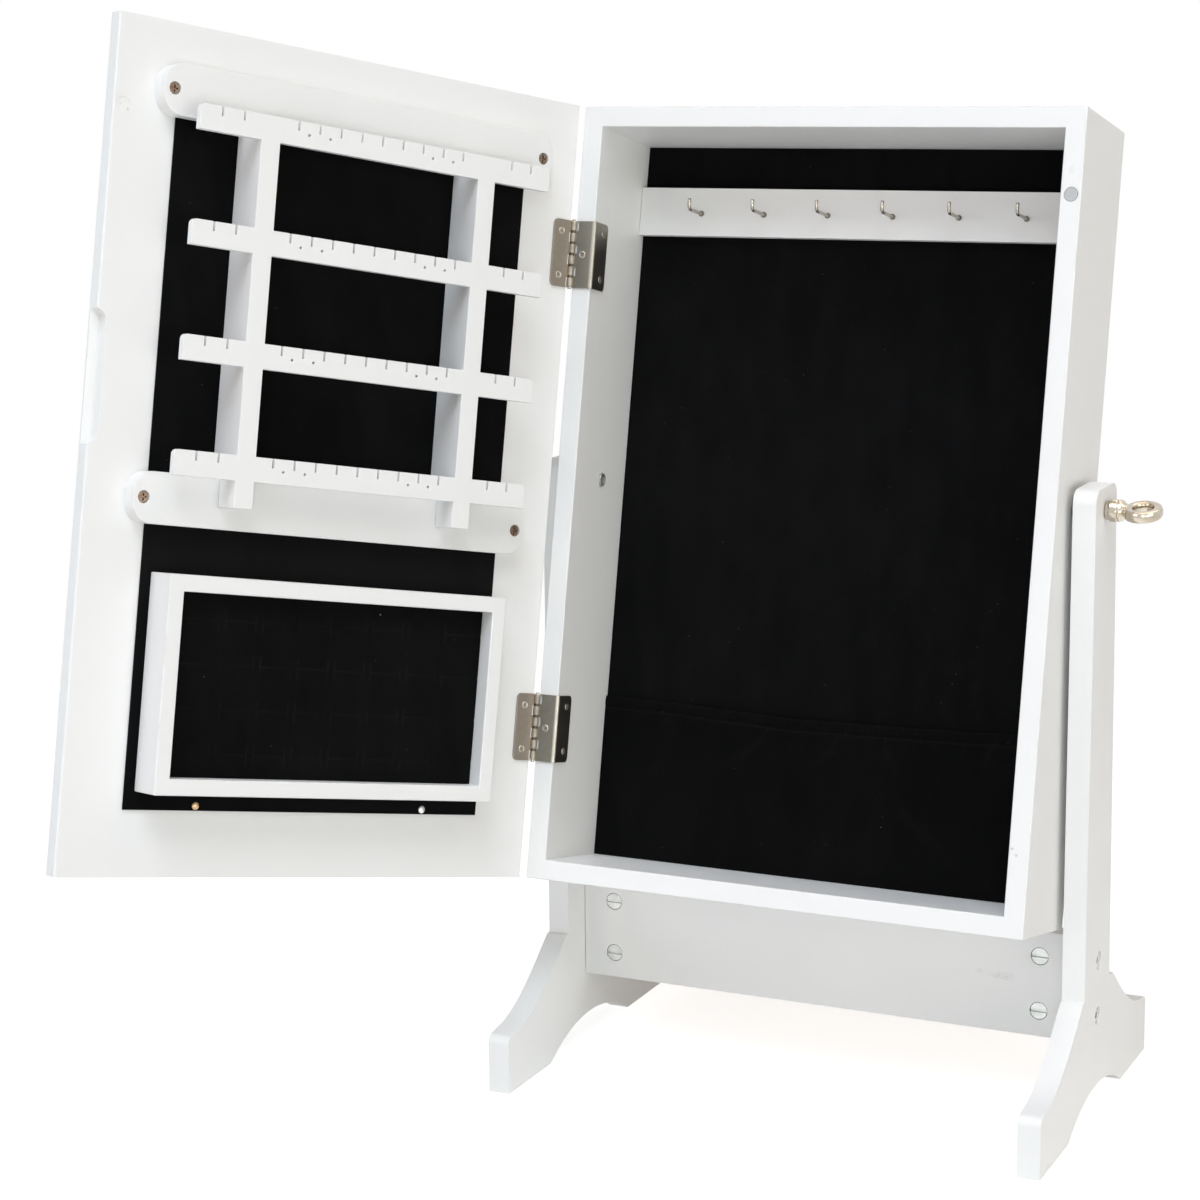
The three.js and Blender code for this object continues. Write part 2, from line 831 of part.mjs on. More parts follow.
// The barrel of one leaf on the line (x, y), with room left for the other leaf's knuckles.
function addBarrel(leaf, x, y, middle, ofDoor) {
  const halfLength = (knucklePitch - knuckleGap) / 2;
  const ownKnuckles = knuckles(middle, ofDoor).map(
    (z) => rod(knuckleRadius, [x, y, z - halfLength], [x, y, z + halfLength], smallRound),
  );
  const reach = knuckleRadius + leafCutBesideKnuckle;
  const halfSlot = knucklePitch - halfLength;
  const slots = knuckles(middle, !ofDoor).map((z) => box(
    [x - reach, y - reach, z - halfSlot],
    [x + reach, y + reach, z + halfSlot],
  ));
  const end = hingeHeight / 2 + overcut;
  const bore = rod(knuckleBore, [x, y, middle - end], [x, y, middle + end], smallRound);
  return cut(join([cut(leaf, slots), ...ownKnuckles]), [bore]);
}

function cabinetLeaf(middle) {
  const front = -seatGap - leafThickness;
  const inner = -innerWall + seatGap;
  const halfHeight = hingeHeight / 2 - knuckleClearance / 2;
  const profile = roundedOutline([
    [pinX, front],
    [inner + leafThickness, front, leafThickness],
    [inner + leafThickness, wrapLength],
    [inner, wrapLength],
    [inner, -seatGap],
    [pinX, -seatGap],
  ]);
  const bent = planPlate(profile, middle - halfHeight, 2 * halfHeight);
  const trim = sidePlate(roundedOutline([
    [front - overcut, middle - halfHeight - overcut],
    [front, middle - halfHeight - overcut],
    [front, middle - halfHeight],
    [wrapLength, middle - halfHeight, leafCornerRadius],
    [wrapLength, middle + halfHeight, leafCornerRadius],
    [front, middle + halfHeight],
    [front, middle + halfHeight + overcut],
    [front - overcut, middle + halfHeight + overcut],
  ]), pinX - overcut, inner + leafThickness + overcut);
  const holes = [rod(
    leafScrewRadius,
    [(pinX + knuckleRadius + inner) / 2, front - overcut, middle],
    [(pinX + knuckleRadius + inner) / 2, overcut, middle],
    smallRound,
  )];
  for (const side of [-1, 1]) {
    const z = middle + side * wrapScrewSpacing / 2;
    holes.push(rod(
      leafScrewRadius,
      [inner - overcut, wrapScrewDepth, z],
      [inner + leafThickness + overcut, wrapScrewDepth, z],
      smallRound,
    ));
  }
  return cut(addBarrel(common(bent, trim), pinX, pinY, middle, false), holes);
}

function doorLeaf(middle) {
  const halfHeight = hingeHeight / 2 - knuckleClearance / 2;
  const outline = roundedOutline([
    [-pinOutset, middle - halfHeight],
    [doorLeafWidth, middle - halfHeight, leafCornerRadius],
    [doorLeafWidth, middle + halfHeight, leafCornerRadius],
    [-pinOutset, middle + halfHeight],
  ]);
  const plate = frontPlate(outline, seatGap, seatGap + leafThickness);
  const holes = [-1, 1].map((side) => {
    const z = middle + side * doorLeafScrewSpacing / 2;
    return rod(
      leafScrewRadius,
      [doorLeafScrewFromEdge, -overcut, z],
      [doorLeafScrewFromEdge, seatGap + leafThickness + overcut, z],
      smallRound,
    );
  });
  return cut(addBarrel(plate, -pinOutset, doorGap / 2, middle, true), holes);
}

function hingePin(middle) {
  const end = hingeHeight / 2;
  const profile = [
    [0, -end - hingePinHeadHeight],
    [hingePinCrown, -end - hingePinHeadHeight],
    [hingePinHead, -end],
    [hingePinRadius, -end],
    [hingePinRadius, end],
    [hingePinHead, end],
    [hingePinCrown, end + hingePinHeadHeight],
    [0, end + hingePinHeadHeight],
  ];
  return revolve(profile, smallRound).translate(pinX, pinY, middle);
}

for (const [sideName, side] of sides) {
  addPiece(cabinet, `${sideName}_side_board`, sideBoard(side), paint);
  addPiece(cabinet, `${sideName}_threaded_insert`, threadedInsert(side), zinc);
}
addPiece(cabinet, 'bottom_board', crossBoard(0), paint);
addPiece(cabinet, 'top_board', crossBoard(cabinetHeight - boardThickness), paint);
addPiece(cabinet, 'back_panel', innerSheet(velvetFront + velvetThickness + seatGap, backThickness), paint);
addPiece(cabinet, 'back_velvet', innerSheet(velvetFront, velvetThickness), velvet);
addPiece(cabinet, 'velvet_pocket', velvetPocket(), velvet);
addPiece(cabinet, 'hook_bar', hookBar(), paint);
hookPlaces.forEach((x, index) => {
  addPiece(cabinet, `necklace_hook_${index + 1}`, screwHook(x), nickel);
});
addPiece(
  cabinet,
  'door_magnet',
  rod(magnetRadius, [magnetX, seatGap, magnetZ], [magnetX, seatGap + magnetLength, magnetZ], largeRound),
  zinc,
);
hingeMiddles.forEach((middle, index) => {
  const level = ['lower', 'upper'][index];
  addPiece(cabinet, `${level}_cabinet_hinge_leaf`, cabinetLeaf(middle), nickel);
  addPiece(cabinet, `${level}_hinge_pin`, hingePin(middle), nickel);
});

// ---------------------------------------------------------------- door

// Door pieces are placed from the hinge edge (X), the inner face (Y, positive inwards) and the
// bottom edge (Z), as they lie when the door is shut.
const doorSwing = new THREE.Group();
doorSwing.position.set(pinX, pinY, 0);
doorSwing.rotation.z = -doorOpening;
const door = new THREE.Group();
door.position.set(pinOutset, -doorGap / 2, 0);
doorSwing.add(door);
cabinet.add(doorSwing);

const mirrorBack = -doorThickness + mirrorSetback + mirrorThickness;
const strikeX = magnetX - doorHingeEdgeX;
const railLeft = liningLeft - railPastLining;
const railRight = liningRight + railPastLining;
const railScrewPlaces = [(railLeft + liningLeft) / 2, (railRight + liningRight) / 2];
const railScrewDepth = railScrewLength - railFront + railScrewRecess;
const postPlaces = [doorMiddle - postSpacing / 2, doorMiddle + postSpacing / 2];
const lowestStripBottom = lowerRailBottom + lowestStripAboveRail;
const highestStripBottom = upperRailBottom - highestStripBelowRail;
const stripBottoms = Array.from(
  { length: stripCount },
  (_, index) => THREE.MathUtils.lerp(lowestStripBottom, highestStripBottom, index / (stripCount - 1)),
);
const liningScrewPlaces = [-1, 1].map(
  (side) => doorMiddle + liningScrewOffset + side * liningScrewSpacing / 2,
);
const liningScrewZ = liningFromBottom + liningScrewInset;

function mirrorRecess() {
  const margin = mirrorBorder;
  const floor = mirrorBack + seatGap;
  const pocket = box(
    [margin, -doorThickness - overcut, margin],
    [doorWidth - margin, floor, doorHeight - margin],
  );
  const outline = rectangle(margin, margin, doorWidth - margin, doorHeight - margin);
  const bevel = new THREE.ExtrudeGeometry(outline, {
    depth: overcut,
    bevelThickness: mirrorBevel,
    bevelSize: mirrorBevel,
    bevelSegments: 1,
  });
  bevel.rotateX(Math.PI / 2);
  bevel.translate(0, -doorThickness, 0);
  return [pocket, bevel];
}

function fingerScoop() {
  const corner = scoopCutterRadius;
  const outline = roundedOutline([
    [doorWidth - scoopWidth, scoopFromBottom, corner],
    [doorWidth + 2 * corner, scoopFromBottom],
    [doorWidth + 2 * corner, scoopFromBottom + scoopLength],
    [doorWidth - scoopWidth, scoopFromBottom + scoopLength, corner],
  ]);
  return frontPlate(outline, -scoopDepth, overcut, 4);
}

function doorBoard() {
  const outline = rectangle(0, -doorThickness, doorWidth, 0, boardEdgeRadius);
  const strikeFloor = -strikeThickness - 2 * seatGap;
  const tools = [
    ...mirrorRecess(),
    fingerScoop(),
    rod(magnetRadius + seatGap, [strikeX, strikeFloor, magnetZ], [strikeX, overcut, magnetZ], largeRound),
  ];
  for (const x of railScrewPlaces) {
    for (const rail of [lowerRailBottom, upperRailBottom]) {
      const z = rail + railHeight / 2;
      tools.push(rod(
        railScrewThread + seatGap,
        [x, -railScrewDepth - seatGap, z],
        [x, overcut, z],
        smallRound,
      ));
    }
  }
  const liningScrewEnd = liningFront + seatGap - liningScrewLength;
  for (const x of liningScrewPlaces) {
    tools.push(rod(
      liningScrewThread + seatGap,
      [x, liningScrewEnd - seatGap, liningScrewZ],
      [x, overcut, liningScrewZ],
      tinyRound,
    ));
  }
  return cut(planPlate(outline, 0, doorHeight), tools);
}

function mirrorPane() {
  const margin = mirrorBorder + seatGap;
  return box(
    [margin, mirrorBack - mirrorThickness, margin],
    [doorWidth - margin, mirrorBack, doorHeight - margin],
  );
}

function doorLining() {
  const sheet = box(
    [liningLeft, seatGap, liningFromBottom],
    [liningRight, liningFront, liningTop],
  );
  return cut(sheet, liningScrewPlaces.map((x) => rod(
    liningScrewThread + seatGap,
    [x, -overcut, liningScrewZ],
    [x, onLining, liningScrewZ],
    tinyRound,
  )));
}

function rail(bottom) {
  const outline = rectangle(railLeft, bottom, railRight, bottom + railHeight, railCornerRadius);
  const block = frontPlate(outline, seatGap, railFront, 3);
  const middle = bottom + railHeight / 2;
  const headFloor = railFront - railScrewRecess - railScrewHeadHeight - seatGap;
  const tools = [box(
    [liningLeft - seatGap, -overcut, bottom - overcut],
    [liningRight + seatGap, onLining, liningTop + seatGap],
  )];
  for (const x of railScrewPlaces) {
    tools.push(rod(
      railScrewThread + seatGap,
      [x, -overcut, middle],
      [x, railFront + overcut, middle],
      smallRound,
    ));
    tools.push(rod(
      railScrewHeadRadius + seatGap,
      [x, headFloor, middle],
      [x, railFront + overcut, middle],
      mediumRound,
    ));
  }
  return cut(block, tools);
}

function railScrew(x, bottom) {
  const screw = crossHeadScrew(railScrewHeadRadius, railScrewHeadHeight, railScrewThread, railScrewLength);
  return screw.rotateX(-Math.PI / 2).translate(x, railFront - railScrewRecess, bottom + railHeight / 2);
}

function post(x) {
  const left = x - postWidth / 2;
  const right = x + postWidth / 2;
  const outline = roundedOutline([
    [left, postBottom],
    [right, postBottom],
    [right, postTop, postCornerRadius],
    [left, postTop, postCornerRadius],
  ]);
  const bar = frontPlate(outline, onLining, stripFront, 3);
  const overRail = railFront + seatGap;
  const tools = [
    box(
      [left - overcut, 0, postBottom - overcut],
      [right + overcut, overRail, lowerRailBottom + railHeight + seatGap],
    ),
    box([left - overcut, 0, upperRailBottom - seatGap], [right + overcut, overRail, postTop + overcut]),
  ];
  for (const bottom of stripBottoms) {
    tools.push(box(
      [left - overcut, stripBack - seatGap, bottom - seatGap],
      [right + overcut, stripFront + overcut, bottom + stripHeight + seatGap],
    ));
  }
  return cut(bar, tools);
}

function kerfSteps() {
  const inner = Array.from({ length: 2 * innerKerfReach + 1 }, (_, index) => index - innerKerfReach);
  return [...outerKerfSteps.map((step) => -step).reverse(), ...inner, ...outerKerfSteps];
}

// One earring strip: saw kerfs from the top edge for hooks, and small holes for studs.
function earringStrip(bottom) {
  const left = doorMiddle - stripWidth / 2;
  const right = doorMiddle + stripWidth / 2;
  const top = bottom + stripHeight;
  const corners = [[left, bottom], [right, bottom], [right, top, stripCornerRadius]];
  for (const step of kerfSteps().reverse()) {
    const x = doorMiddle + step * kerfPitch;
    const half = kerfWidth / 2;
    corners.push([x + half, top], [x + half, top - kerfDepth], [x - half, top - kerfDepth], [x - half, top]);
  }
  corners.push([left, top, stripCornerRadius]);
  const outline = roundedOutline(corners);
  for (const step of studHoleSteps) {
    for (const side of [-1, 1]) {
      const hole = new THREE.Path();
      const x = doorMiddle + side * step * kerfPitch;
      hole.absarc(x, bottom + stripHeight / 2, studHoleRadius, 0, Math.PI * 2, true);
      outline.holes.push(hole);
    }
  }
  return frontPlate(outline, stripBack, stripFront, 3);
}

const ringBoxLeft = doorMiddle - ringBoxWidth / 2;
const ringBoxRight = doorMiddle + ringBoxWidth / 2;
const ringBoxTop = ringBoxBottom + ringBoxHeight;

function ringBoxFrame() {
  const outline = rectangle(ringBoxLeft, ringBoxBottom, ringBoxRight, ringBoxTop);
  outline.holes.push(rectangle(
    ringBoxLeft + ringBoxWall,
    ringBoxBottom + ringBoxWall,
    ringBoxRight - ringBoxWall,
    ringBoxTop - ringBoxWall,
  ));
  return frontPlate(outline, onLining, ringBoxFront);
}

function ringPad() {
  const margin = ringBoxWall + seatGap;
  return box(
    [ringBoxLeft + margin, onLining, ringBoxBottom + margin],
    [ringBoxRight - margin, ringPadFront, ringBoxTop - margin],
  );
}

function liningScrew(x) {
  const dome = [0, 30, 60].map((degrees) => {
    const angle = THREE.MathUtils.degToRad(degrees);
    return [liningScrewRadius * Math.cos(angle), liningScrewRise * Math.sin(angle)];
  });
  const screw = revolve([
    [0, -liningScrewLength],
    [liningScrewThread * screwPointShare, -liningScrewLength],
    [liningScrewThread, -liningScrewLength + liningScrewThread * screwPointTaper],
    [liningScrewThread, 0],
    ...dome,
    [0, liningScrewRise],
  ], tinyRound);
  return screw.rotateX(-Math.PI / 2).translate(x, onLining, liningScrewZ);
}

addPiece(door, 'door_board', doorBoard(), paint);
addPiece(door, 'mirror_pane', mirrorPane(), glass);
addPiece(door, 'door_lining', doorLining(), velvet);
addPiece(
  door,
  'strike_plate',
  rod(
    magnetRadius,
    [strikeX, -strikeThickness - seatGap, magnetZ],
    [strikeX, -seatGap, magnetZ],
    largeRound,
  ),
  zinc,
);
[['lower', lowerRailBottom], ['upper', upperRailBottom]].forEach(([level, bottom]) => {
  addPiece(door, `${level}_rail`, rail(bottom), paint);
  railScrewPlaces.forEach((x, index) => {
    const place = ['hinge_side', 'free_side'][index];
    addPiece(door, `${level}_rail_screw_${place}`, railScrew(x, bottom), zinc);
  });
});
postPlaces.forEach((x, index) => {
  addPiece(door, ['hinge_side_post', 'free_side_post'][index], post(x), paint);
});
stripBottoms.forEach((bottom, index) => {
  addPiece(door, `earring_strip_${index + 1}`, earringStrip(bottom), paint);
});
addPiece(door, 'ring_box_frame', ringBoxFrame(), paint);
addPiece(door, 'ring_pad', ringPad(), velvet);
liningScrewPlaces.forEach((x, index) => {
  addPiece(door, `lining_screw_${index + 1}`, liningScrew(x), [zinc, brass][index]);
});
hingeMiddles.forEach((middle, index) => {
  addPiece(door, `${['lower', 'upper'][index]}_door_hinge_leaf`, doorLeaf(middle), nickel);
});

// ---------------------------------------------------------------- whole armoire

const tilting = new THREE.Group();
tilting.position.set(0, 0, pivotHeight);
tilting.rotation.x = -cabinetTilt;
tilting.add(cabinet);

const armoire = new THREE.Group();
armoire.add(stand, knobs, tilting);

// The origin is under the middle of the whole armoire, on the surface it stands on.
armoire.updateMatrixWorld(true);
const bounds = new THREE.Box3().setFromObject(armoire, true);
const middle = bounds.getCenter(new THREE.Vector3());
armoire.position.set(-middle.x, -middle.y, -bounds.min.z);

export default armoire;
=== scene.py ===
import json
import math

import bmesh
import bpy
from mathutils import Matrix, Vector, noise


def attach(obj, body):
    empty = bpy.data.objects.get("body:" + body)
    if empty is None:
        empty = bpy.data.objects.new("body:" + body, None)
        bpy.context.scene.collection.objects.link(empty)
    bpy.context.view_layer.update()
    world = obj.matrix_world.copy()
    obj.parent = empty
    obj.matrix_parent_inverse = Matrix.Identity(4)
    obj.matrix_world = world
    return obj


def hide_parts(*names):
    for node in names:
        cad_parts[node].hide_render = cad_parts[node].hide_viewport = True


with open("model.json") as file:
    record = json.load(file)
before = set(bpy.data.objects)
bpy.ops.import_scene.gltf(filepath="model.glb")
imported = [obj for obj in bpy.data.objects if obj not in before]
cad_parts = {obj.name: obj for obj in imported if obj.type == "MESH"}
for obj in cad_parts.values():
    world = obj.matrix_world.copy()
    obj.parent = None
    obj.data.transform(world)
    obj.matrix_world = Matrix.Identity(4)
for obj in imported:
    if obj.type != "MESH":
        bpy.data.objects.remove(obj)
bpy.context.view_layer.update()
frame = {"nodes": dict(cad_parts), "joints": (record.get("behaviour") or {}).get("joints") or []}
joints = {joint["name"]: joint for joint in frame["joints"]}
mm = 0.001
print("frame loaded,", len(frame["nodes"]), "nodes")


# ---- where the tilted cabinet and the open door stand ----

armoire = {
    "pivotFromFront": 39.3, "pivotFromBottom": 252.3,
    "width": 320.0, "wall": 12.5,
    "doorGap": 3.1,           # from the door's inner face to the cabinet when shut
}
swing = joints["door_swing"]
tilt = joints["cabinet_tilt"]
upward = -Vector(swing["axis"])
across = Vector((1, 0, 0))
inward = upward.cross(across)
pivot = Vector(tilt["pos_m"])


def axes(origin, right, back, up):
    place = Matrix((right, back, up)).transposed().to_4x4()
    place.translation = origin
    return place


# cabinet: x across from its middle, y back from its front face, z up from its underside
corner = pivot - armoire["pivotFromFront"] * mm * inward - armoire["pivotFromBottom"] * mm * upward
cabinetPlace = axes(corner, across, inward, upward)
pin = Vector(swing["pos_m"])
opening = math.radians(swing["range_deg"][0])
turn = Matrix.Translation(pin) @ Matrix.Rotation(opening, 4, upward) @ Matrix.Translation(-pin)
# door: x from its hinge edge, y in from its inner face, z up from its underside
doorShut = Matrix.Translation((-armoire["width"] / 2 * mm, -armoire["doorGap"] * mm, 0))
places = {"cabinet": cabinetPlace, "door": turn @ cabinetPlace @ doorShut}


# ---- finishes: shared node groups ----

colourKind, numberKind = "NodeSocketColor", "NodeSocketFloat"
surfaceOutputs = [("Colour", colourKind), ("Roughness", numberKind), ("Height", numberKind)]


def newGroup(name, inputs, outputs):
    group = bpy.data.node_groups.new(name, "ShaderNodeTree")
    for label, kind, value in inputs:
        socket = group.interface.new_socket(label, in_out="INPUT", socket_type=kind)
        socket.default_value = value
    for label, kind in outputs:
        group.interface.new_socket(label, in_out="OUTPUT", socket_type=kind)
    given, out = group.nodes.new("NodeGroupInput"), group.nodes.new("NodeGroupOutput")
    return group, given.outputs, out.inputs


def node(tree, kind, **settings):
    made = tree.nodes.new("ShaderNode" + kind)
    for key, value in settings.items():
        if hasattr(made, key):
            setattr(made, key, value)
        else:
            made.inputs[key].default_value = value
    return made


def link(tree, source, target):
    tree.links.new(source, target)


def setInputs(target, values):
    for label, value in values.items():
        target.inputs[label].default_value = value


# a number or a colour is set on the socket, and another node's output is linked to it
def feed(tree, socket, value):
    if isinstance(value, (int, float, tuple)):
        socket.default_value = value
    else:
        link(tree, value, socket)


def maths(tree, operation, first, second):
    made = node(tree, "Math", operation=operation)
    feed(tree, made.inputs[0], first)
    feed(tree, made.inputs[1], second)
    return made.outputs[0]


def vectorMaths(tree, operation, *values):
    made = node(tree, "VectorMath", operation=operation)
    for socket, value in zip(made.inputs, values):
        link(tree, value, socket)
    return made.outputs["Value" if operation == "LENGTH" else "Vector"]


def ownPlace(tree):
    return node(tree, "TexCoord").outputs["Object"]


def noiseAt(tree, coordinates, scale, detail=2.0, roughness=0.5, stretch=None):
    texture = node(tree, "TexNoise", Detail=detail, Roughness=roughness)
    feed(tree, texture.inputs["Scale"], scale)
    if stretch:
        mapping = node(tree, "Mapping", Scale=stretch)
        link(tree, coordinates, mapping.inputs["Vector"])
        coordinates = mapping.outputs[0]
    link(tree, coordinates, texture.inputs["Vector"])
    return texture.outputs["Fac"]


# distance from the nearest of many scattered points
def scatterAt(tree, coordinates, scale):
    points = node(tree, "TexVoronoi", feature="F1", Scale=scale)
    link(tree, coordinates, points.inputs["Vector"])
    return points.outputs["Distance"]


def spread(tree, value, low, high, toLow=0.0, toHigh=1.0):
    ramp = node(tree, "MapRange", clamp=True)
    setInputs(ramp, {"From Min": low, "From Max": high, "To Min": toLow, "To Max": toHigh})
    link(tree, value, ramp.inputs["Value"])
    return ramp.outputs[0]


def blendColours(tree, mask, first, second):
    mix = node(tree, "Mix", data_type="RGBA")
    for index, value in zip((0, 6, 7), (mask, first, second)):
        feed(tree, mix.inputs[index], value)
    return mix.outputs[2]


whitePaint = {
    "colour": (0.865, 0.865, 0.85, 1),
    "clouded": (0.825, 0.822, 0.805, 1),
    "rubbed": (0.66, 0.61, 0.53, 1),
    "dirt": (0.30, 0.28, 0.25, 1),
    "cloudiness": 0.3, "rubbing": 0.45,
    # features per metre, more or less
    "cloudScale": 9, "sheenScale": 60, "peelScale": 420, "nibScale": 95, "rubScale": 40,
    "nibHeight": 1.2, "smooth": 0.36, "rough": 0.46,
}


# sprayed paint: a faint orange peel, cloudy colour and a few nibs of dust under the film
def makePaintFilm():
    inputs = [
        ("Colour", colourKind, whitePaint["colour"]),
        ("Clouded", colourKind, whitePaint["clouded"]),
        ("Cloudiness", numberKind, whitePaint["cloudiness"]),
    ]
    group, given, out = newGroup("sprayedPaint", inputs, surfaceOutputs)
    place = ownPlace(group)
    clouds = spread(group, noiseAt(group, place, whitePaint["cloudScale"], 3, 0.6), 0.42, 0.72)
    mask = maths(group, "MULTIPLY", clouds, given["Cloudiness"])
    tint = blendColours(group, mask, given["Colour"], given["Clouded"])
    link(group, tint, out["Colour"])
    sheen = noiseAt(group, place, whitePaint["sheenScale"], 2, 0.5)
    roughness = spread(group, sheen, 0.3, 0.7, whitePaint["smooth"], whitePaint["rough"])
    link(group, roughness, out["Roughness"])
    peel = noiseAt(group, place, whitePaint["peelScale"], 2, 0.45)
    nibs = spread(group, scatterAt(group, place, whitePaint["nibScale"]), 0.0, 0.055, 1.0, 0.0)
    nibs = maths(group, "MULTIPLY", nibs, whitePaint["nibHeight"])
    link(group, maths(group, "ADD", peel, nibs), out["Height"])
    return group


# rubbed edges: the band that the bevel leaves, broken up by noise
def makeRubbedEdge():
    inputs = [
        ("Colour", colourKind, whitePaint["colour"]),
        ("Rubbed", colourKind, whitePaint["rubbed"]),
        ("Amount", numberKind, whitePaint["rubbing"]),
    ]
    group, given, out = newGroup("rubbedEdge", inputs, [("Colour", colourKind)])
    band = node(group, "Attribute", attribute_name="edgeBand").outputs["Fac"]
    patches = noiseAt(group, ownPlace(group), whitePaint["rubScale"], 5, 0.7)
    worn = maths(group, "MULTIPLY", band, spread(group, patches, 0.5, 0.68))
    mask = maths(group, "MULTIPLY", worn, given["Amount"])
    tint = blendColours(group, mask, given["Colour"], given["Rubbed"])
    link(group, tint, out["Colour"])
    return group


# a scuff or smudge round one point, fading out through noise
def makeScuff():
    inputs = [
        ("Centre", "NodeSocketVector", (0, 0, 0)),
        ("Reach", "NodeSocketVector", (100, 100, 100)),
        ("Grain", numberKind, 300.0),
        ("Strength", numberKind, 0.5),
    ]
    group, given, out = newGroup("scuffMark", inputs, [("Mask", numberKind)])
    place = ownPlace(group)
    away = vectorMaths(group, "SUBTRACT", place, given["Centre"])
    away = vectorMaths(group, "MULTIPLY", away, given["Reach"])
    near = spread(group, vectorMaths(group, "LENGTH", away), 0.35, 1.0, 1.0, 0.0)
    grain = noiseAt(group, place, given["Grain"], 4, 0.65)
    smudge = maths(group, "MULTIPLY", near, spread(group, grain, 0.44, 0.6))
    mask = maths(group, "MULTIPLY", smudge, given["Strength"])
    link(group, mask, out["Mask"])
    return group


blackVelvet = {
    "pile": (0.0018, 0.0019, 0.0020, 1),
    "brushed": (0.0046, 0.0046, 0.0049, 1),
    "pocketPile": (0.0010, 0.0011, 0.0011, 1),
    "pocketBrushed": (0.0032, 0.0032, 0.0036, 1),
    # the lighter tone: painted sheen on the pocket, dust on the ring pad's slits, a rubbed band on
    # the door's lining
    "sheenDustAndWearTone": (0.016, 0.0155, 0.0155, 1),
    "lint": (0.16, 0.15, 0.14, 1),
    "napScale": 11, "strokeScale": 70, "lintScale": 34, "dustScale": 110, "pileScale": 2400,
    "sheen": 0.012,
}


# flocked velvet: fine pile, faint rows from the roller and stray lint
def makeFlock():
    inputs = [
        ("Pile", colourKind, blackVelvet["pile"]),
        ("Brushed", colourKind, blackVelvet["brushed"]),
        ("SheenDustAndWearTone", colourKind, blackVelvet["sheenDustAndWearTone"]),
        ("Lint", colourKind, blackVelvet["lint"]),
    ]
    outputs = [("Colour", colourKind), ("Height", numberKind)]
    group, given, out = newGroup("flockedVelvet", inputs, outputs)
    place = ownPlace(group)
    nap = noiseAt(group, place, blackVelvet["napScale"], 5, 0.62)
    strokes = noiseAt(group, place, blackVelvet["strokeScale"], 3, 0.55, (1.0, 1.0, 0.22))
    both = maths(
        group, "ADD", maths(group, "MULTIPLY", nap, 0.6), maths(group, "MULTIPLY", strokes, 0.4),
    )
    stroked = spread(group, both, 0.4, 0.68)
    lain = blendColours(group, stroked, given["Pile"], given["Brushed"])
    lint = maths(
        group, "MULTIPLY",
        spread(group, scatterAt(group, place, blackVelvet["lintScale"]), 0.012, 0.026, 1.0, 0.0),
        spread(group, noiseAt(group, place, 21, 1, 0.4), 0.62, 0.66),
    )
    dust = maths(
        group, "MULTIPLY",
        spread(group, scatterAt(group, place, blackVelvet["dustScale"]), 0.025, 0.06, 0.22, 0.0),
        spread(group, noiseAt(group, place, 60, 1, 0.4), 0.52, 0.56),
    )
    lint = maths(group, "MAXIMUM", lint, dust)
    # lighter towards one tone where the mesh asks: painted sheen on the pocket, dust on the ring
    # pad's slits and a rubbed band on the door's lining
    turned = node(group, "Attribute", attribute_name="sheenDustAndWear").outputs["Fac"]
    sheenDustAndWearTone = blendColours(group, turned, lain, given["SheenDustAndWearTone"])
    link(group, blendColours(group, lint, sheenDustAndWearTone, given["Lint"]), out["Colour"])
    link(group, noiseAt(group, place, blackVelvet["pileScale"], 2, 0.6), out["Height"])
    return group


# plated sheet metal: cloudy plating, fine rubbing lines and handling marks
def makePlating():
    inputs = [
        ("Bright", colourKind, (0.6, 0.55, 0.48, 1)),
        ("Dull", colourKind, (0.3, 0.26, 0.22, 1)),
        ("Smooth", numberKind, 0.25),
        ("Rough", numberKind, 0.45),
    ]
    group, given, out = newGroup("platedMetal", inputs, surfaceOutputs)
    place = ownPlace(group)
    worn = spread(group, noiseAt(group, place, 160, 3, 0.6), 0.38, 0.66)
    tint = blendColours(group, worn, given["Bright"], given["Dull"])
    link(group, tint, out["Colour"])
    mix = node(group, "Mix", data_type="FLOAT")
    for index, source in zip((0, 2, 3), (worn, given["Smooth"], given["Rough"])):
        link(group, source, mix.inputs[index])
    link(group, mix.outputs[0], out["Roughness"])
    link(group, noiseAt(group, place, 900, 2, 0.5, (1.0, 1.0, 0.12)), out["Height"])
    return group


paintFilm = makePaintFilm()
rubbedEdge = makeRubbedEdge()
scuffMark = makeScuff()
flockedVelvet = makeFlock()
platedMetal = makePlating()


# ---- finishes: the materials ----

def newMaterial(name):
    material = bpy.data.materials.new(name)
    material.use_nodes = True
    tree = material.node_tree
    return material, tree, tree.nodes["Principled BSDF"]


def placeGroup(tree, group, **values):
    made = node(tree, "Group")
    made.node_tree = group
    setInputs(made, values)
    return made


def bumpFrom(tree, shader, height, strength, distance):
    bump = node(tree, "Bump", Strength=strength, Distance=distance)
    link(tree, height, bump.inputs["Height"])
    link(tree, bump.outputs[0], shader.inputs["Normal"])


# marks: (centre in metres, 1 / reach in metres, grain, strength)
def paintMaterial(name, marks=()):
    material, tree, shader = newMaterial(name)
    film = placeGroup(tree, paintFilm)
    edge = placeGroup(tree, rubbedEdge)
    link(tree, film.outputs["Colour"], edge.inputs["Colour"])
    colour = edge.outputs["Colour"]
    for centre, reach, grain, strength in marks:
        mark = placeGroup(
            tree, scuffMark, Centre=centre, Reach=reach, Grain=grain, Strength=strength,
        )
        colour = blendColours(tree, mark.outputs["Mask"], colour, whitePaint["dirt"])
    link(tree, colour, shader.inputs["Base Color"])
    link(tree, film.outputs["Roughness"], shader.inputs["Roughness"])
    shader.inputs["Specular IOR Level"].default_value = 0.4
    bumpFrom(tree, shader, film.outputs["Height"], 0.12, 0.0002)
    return material


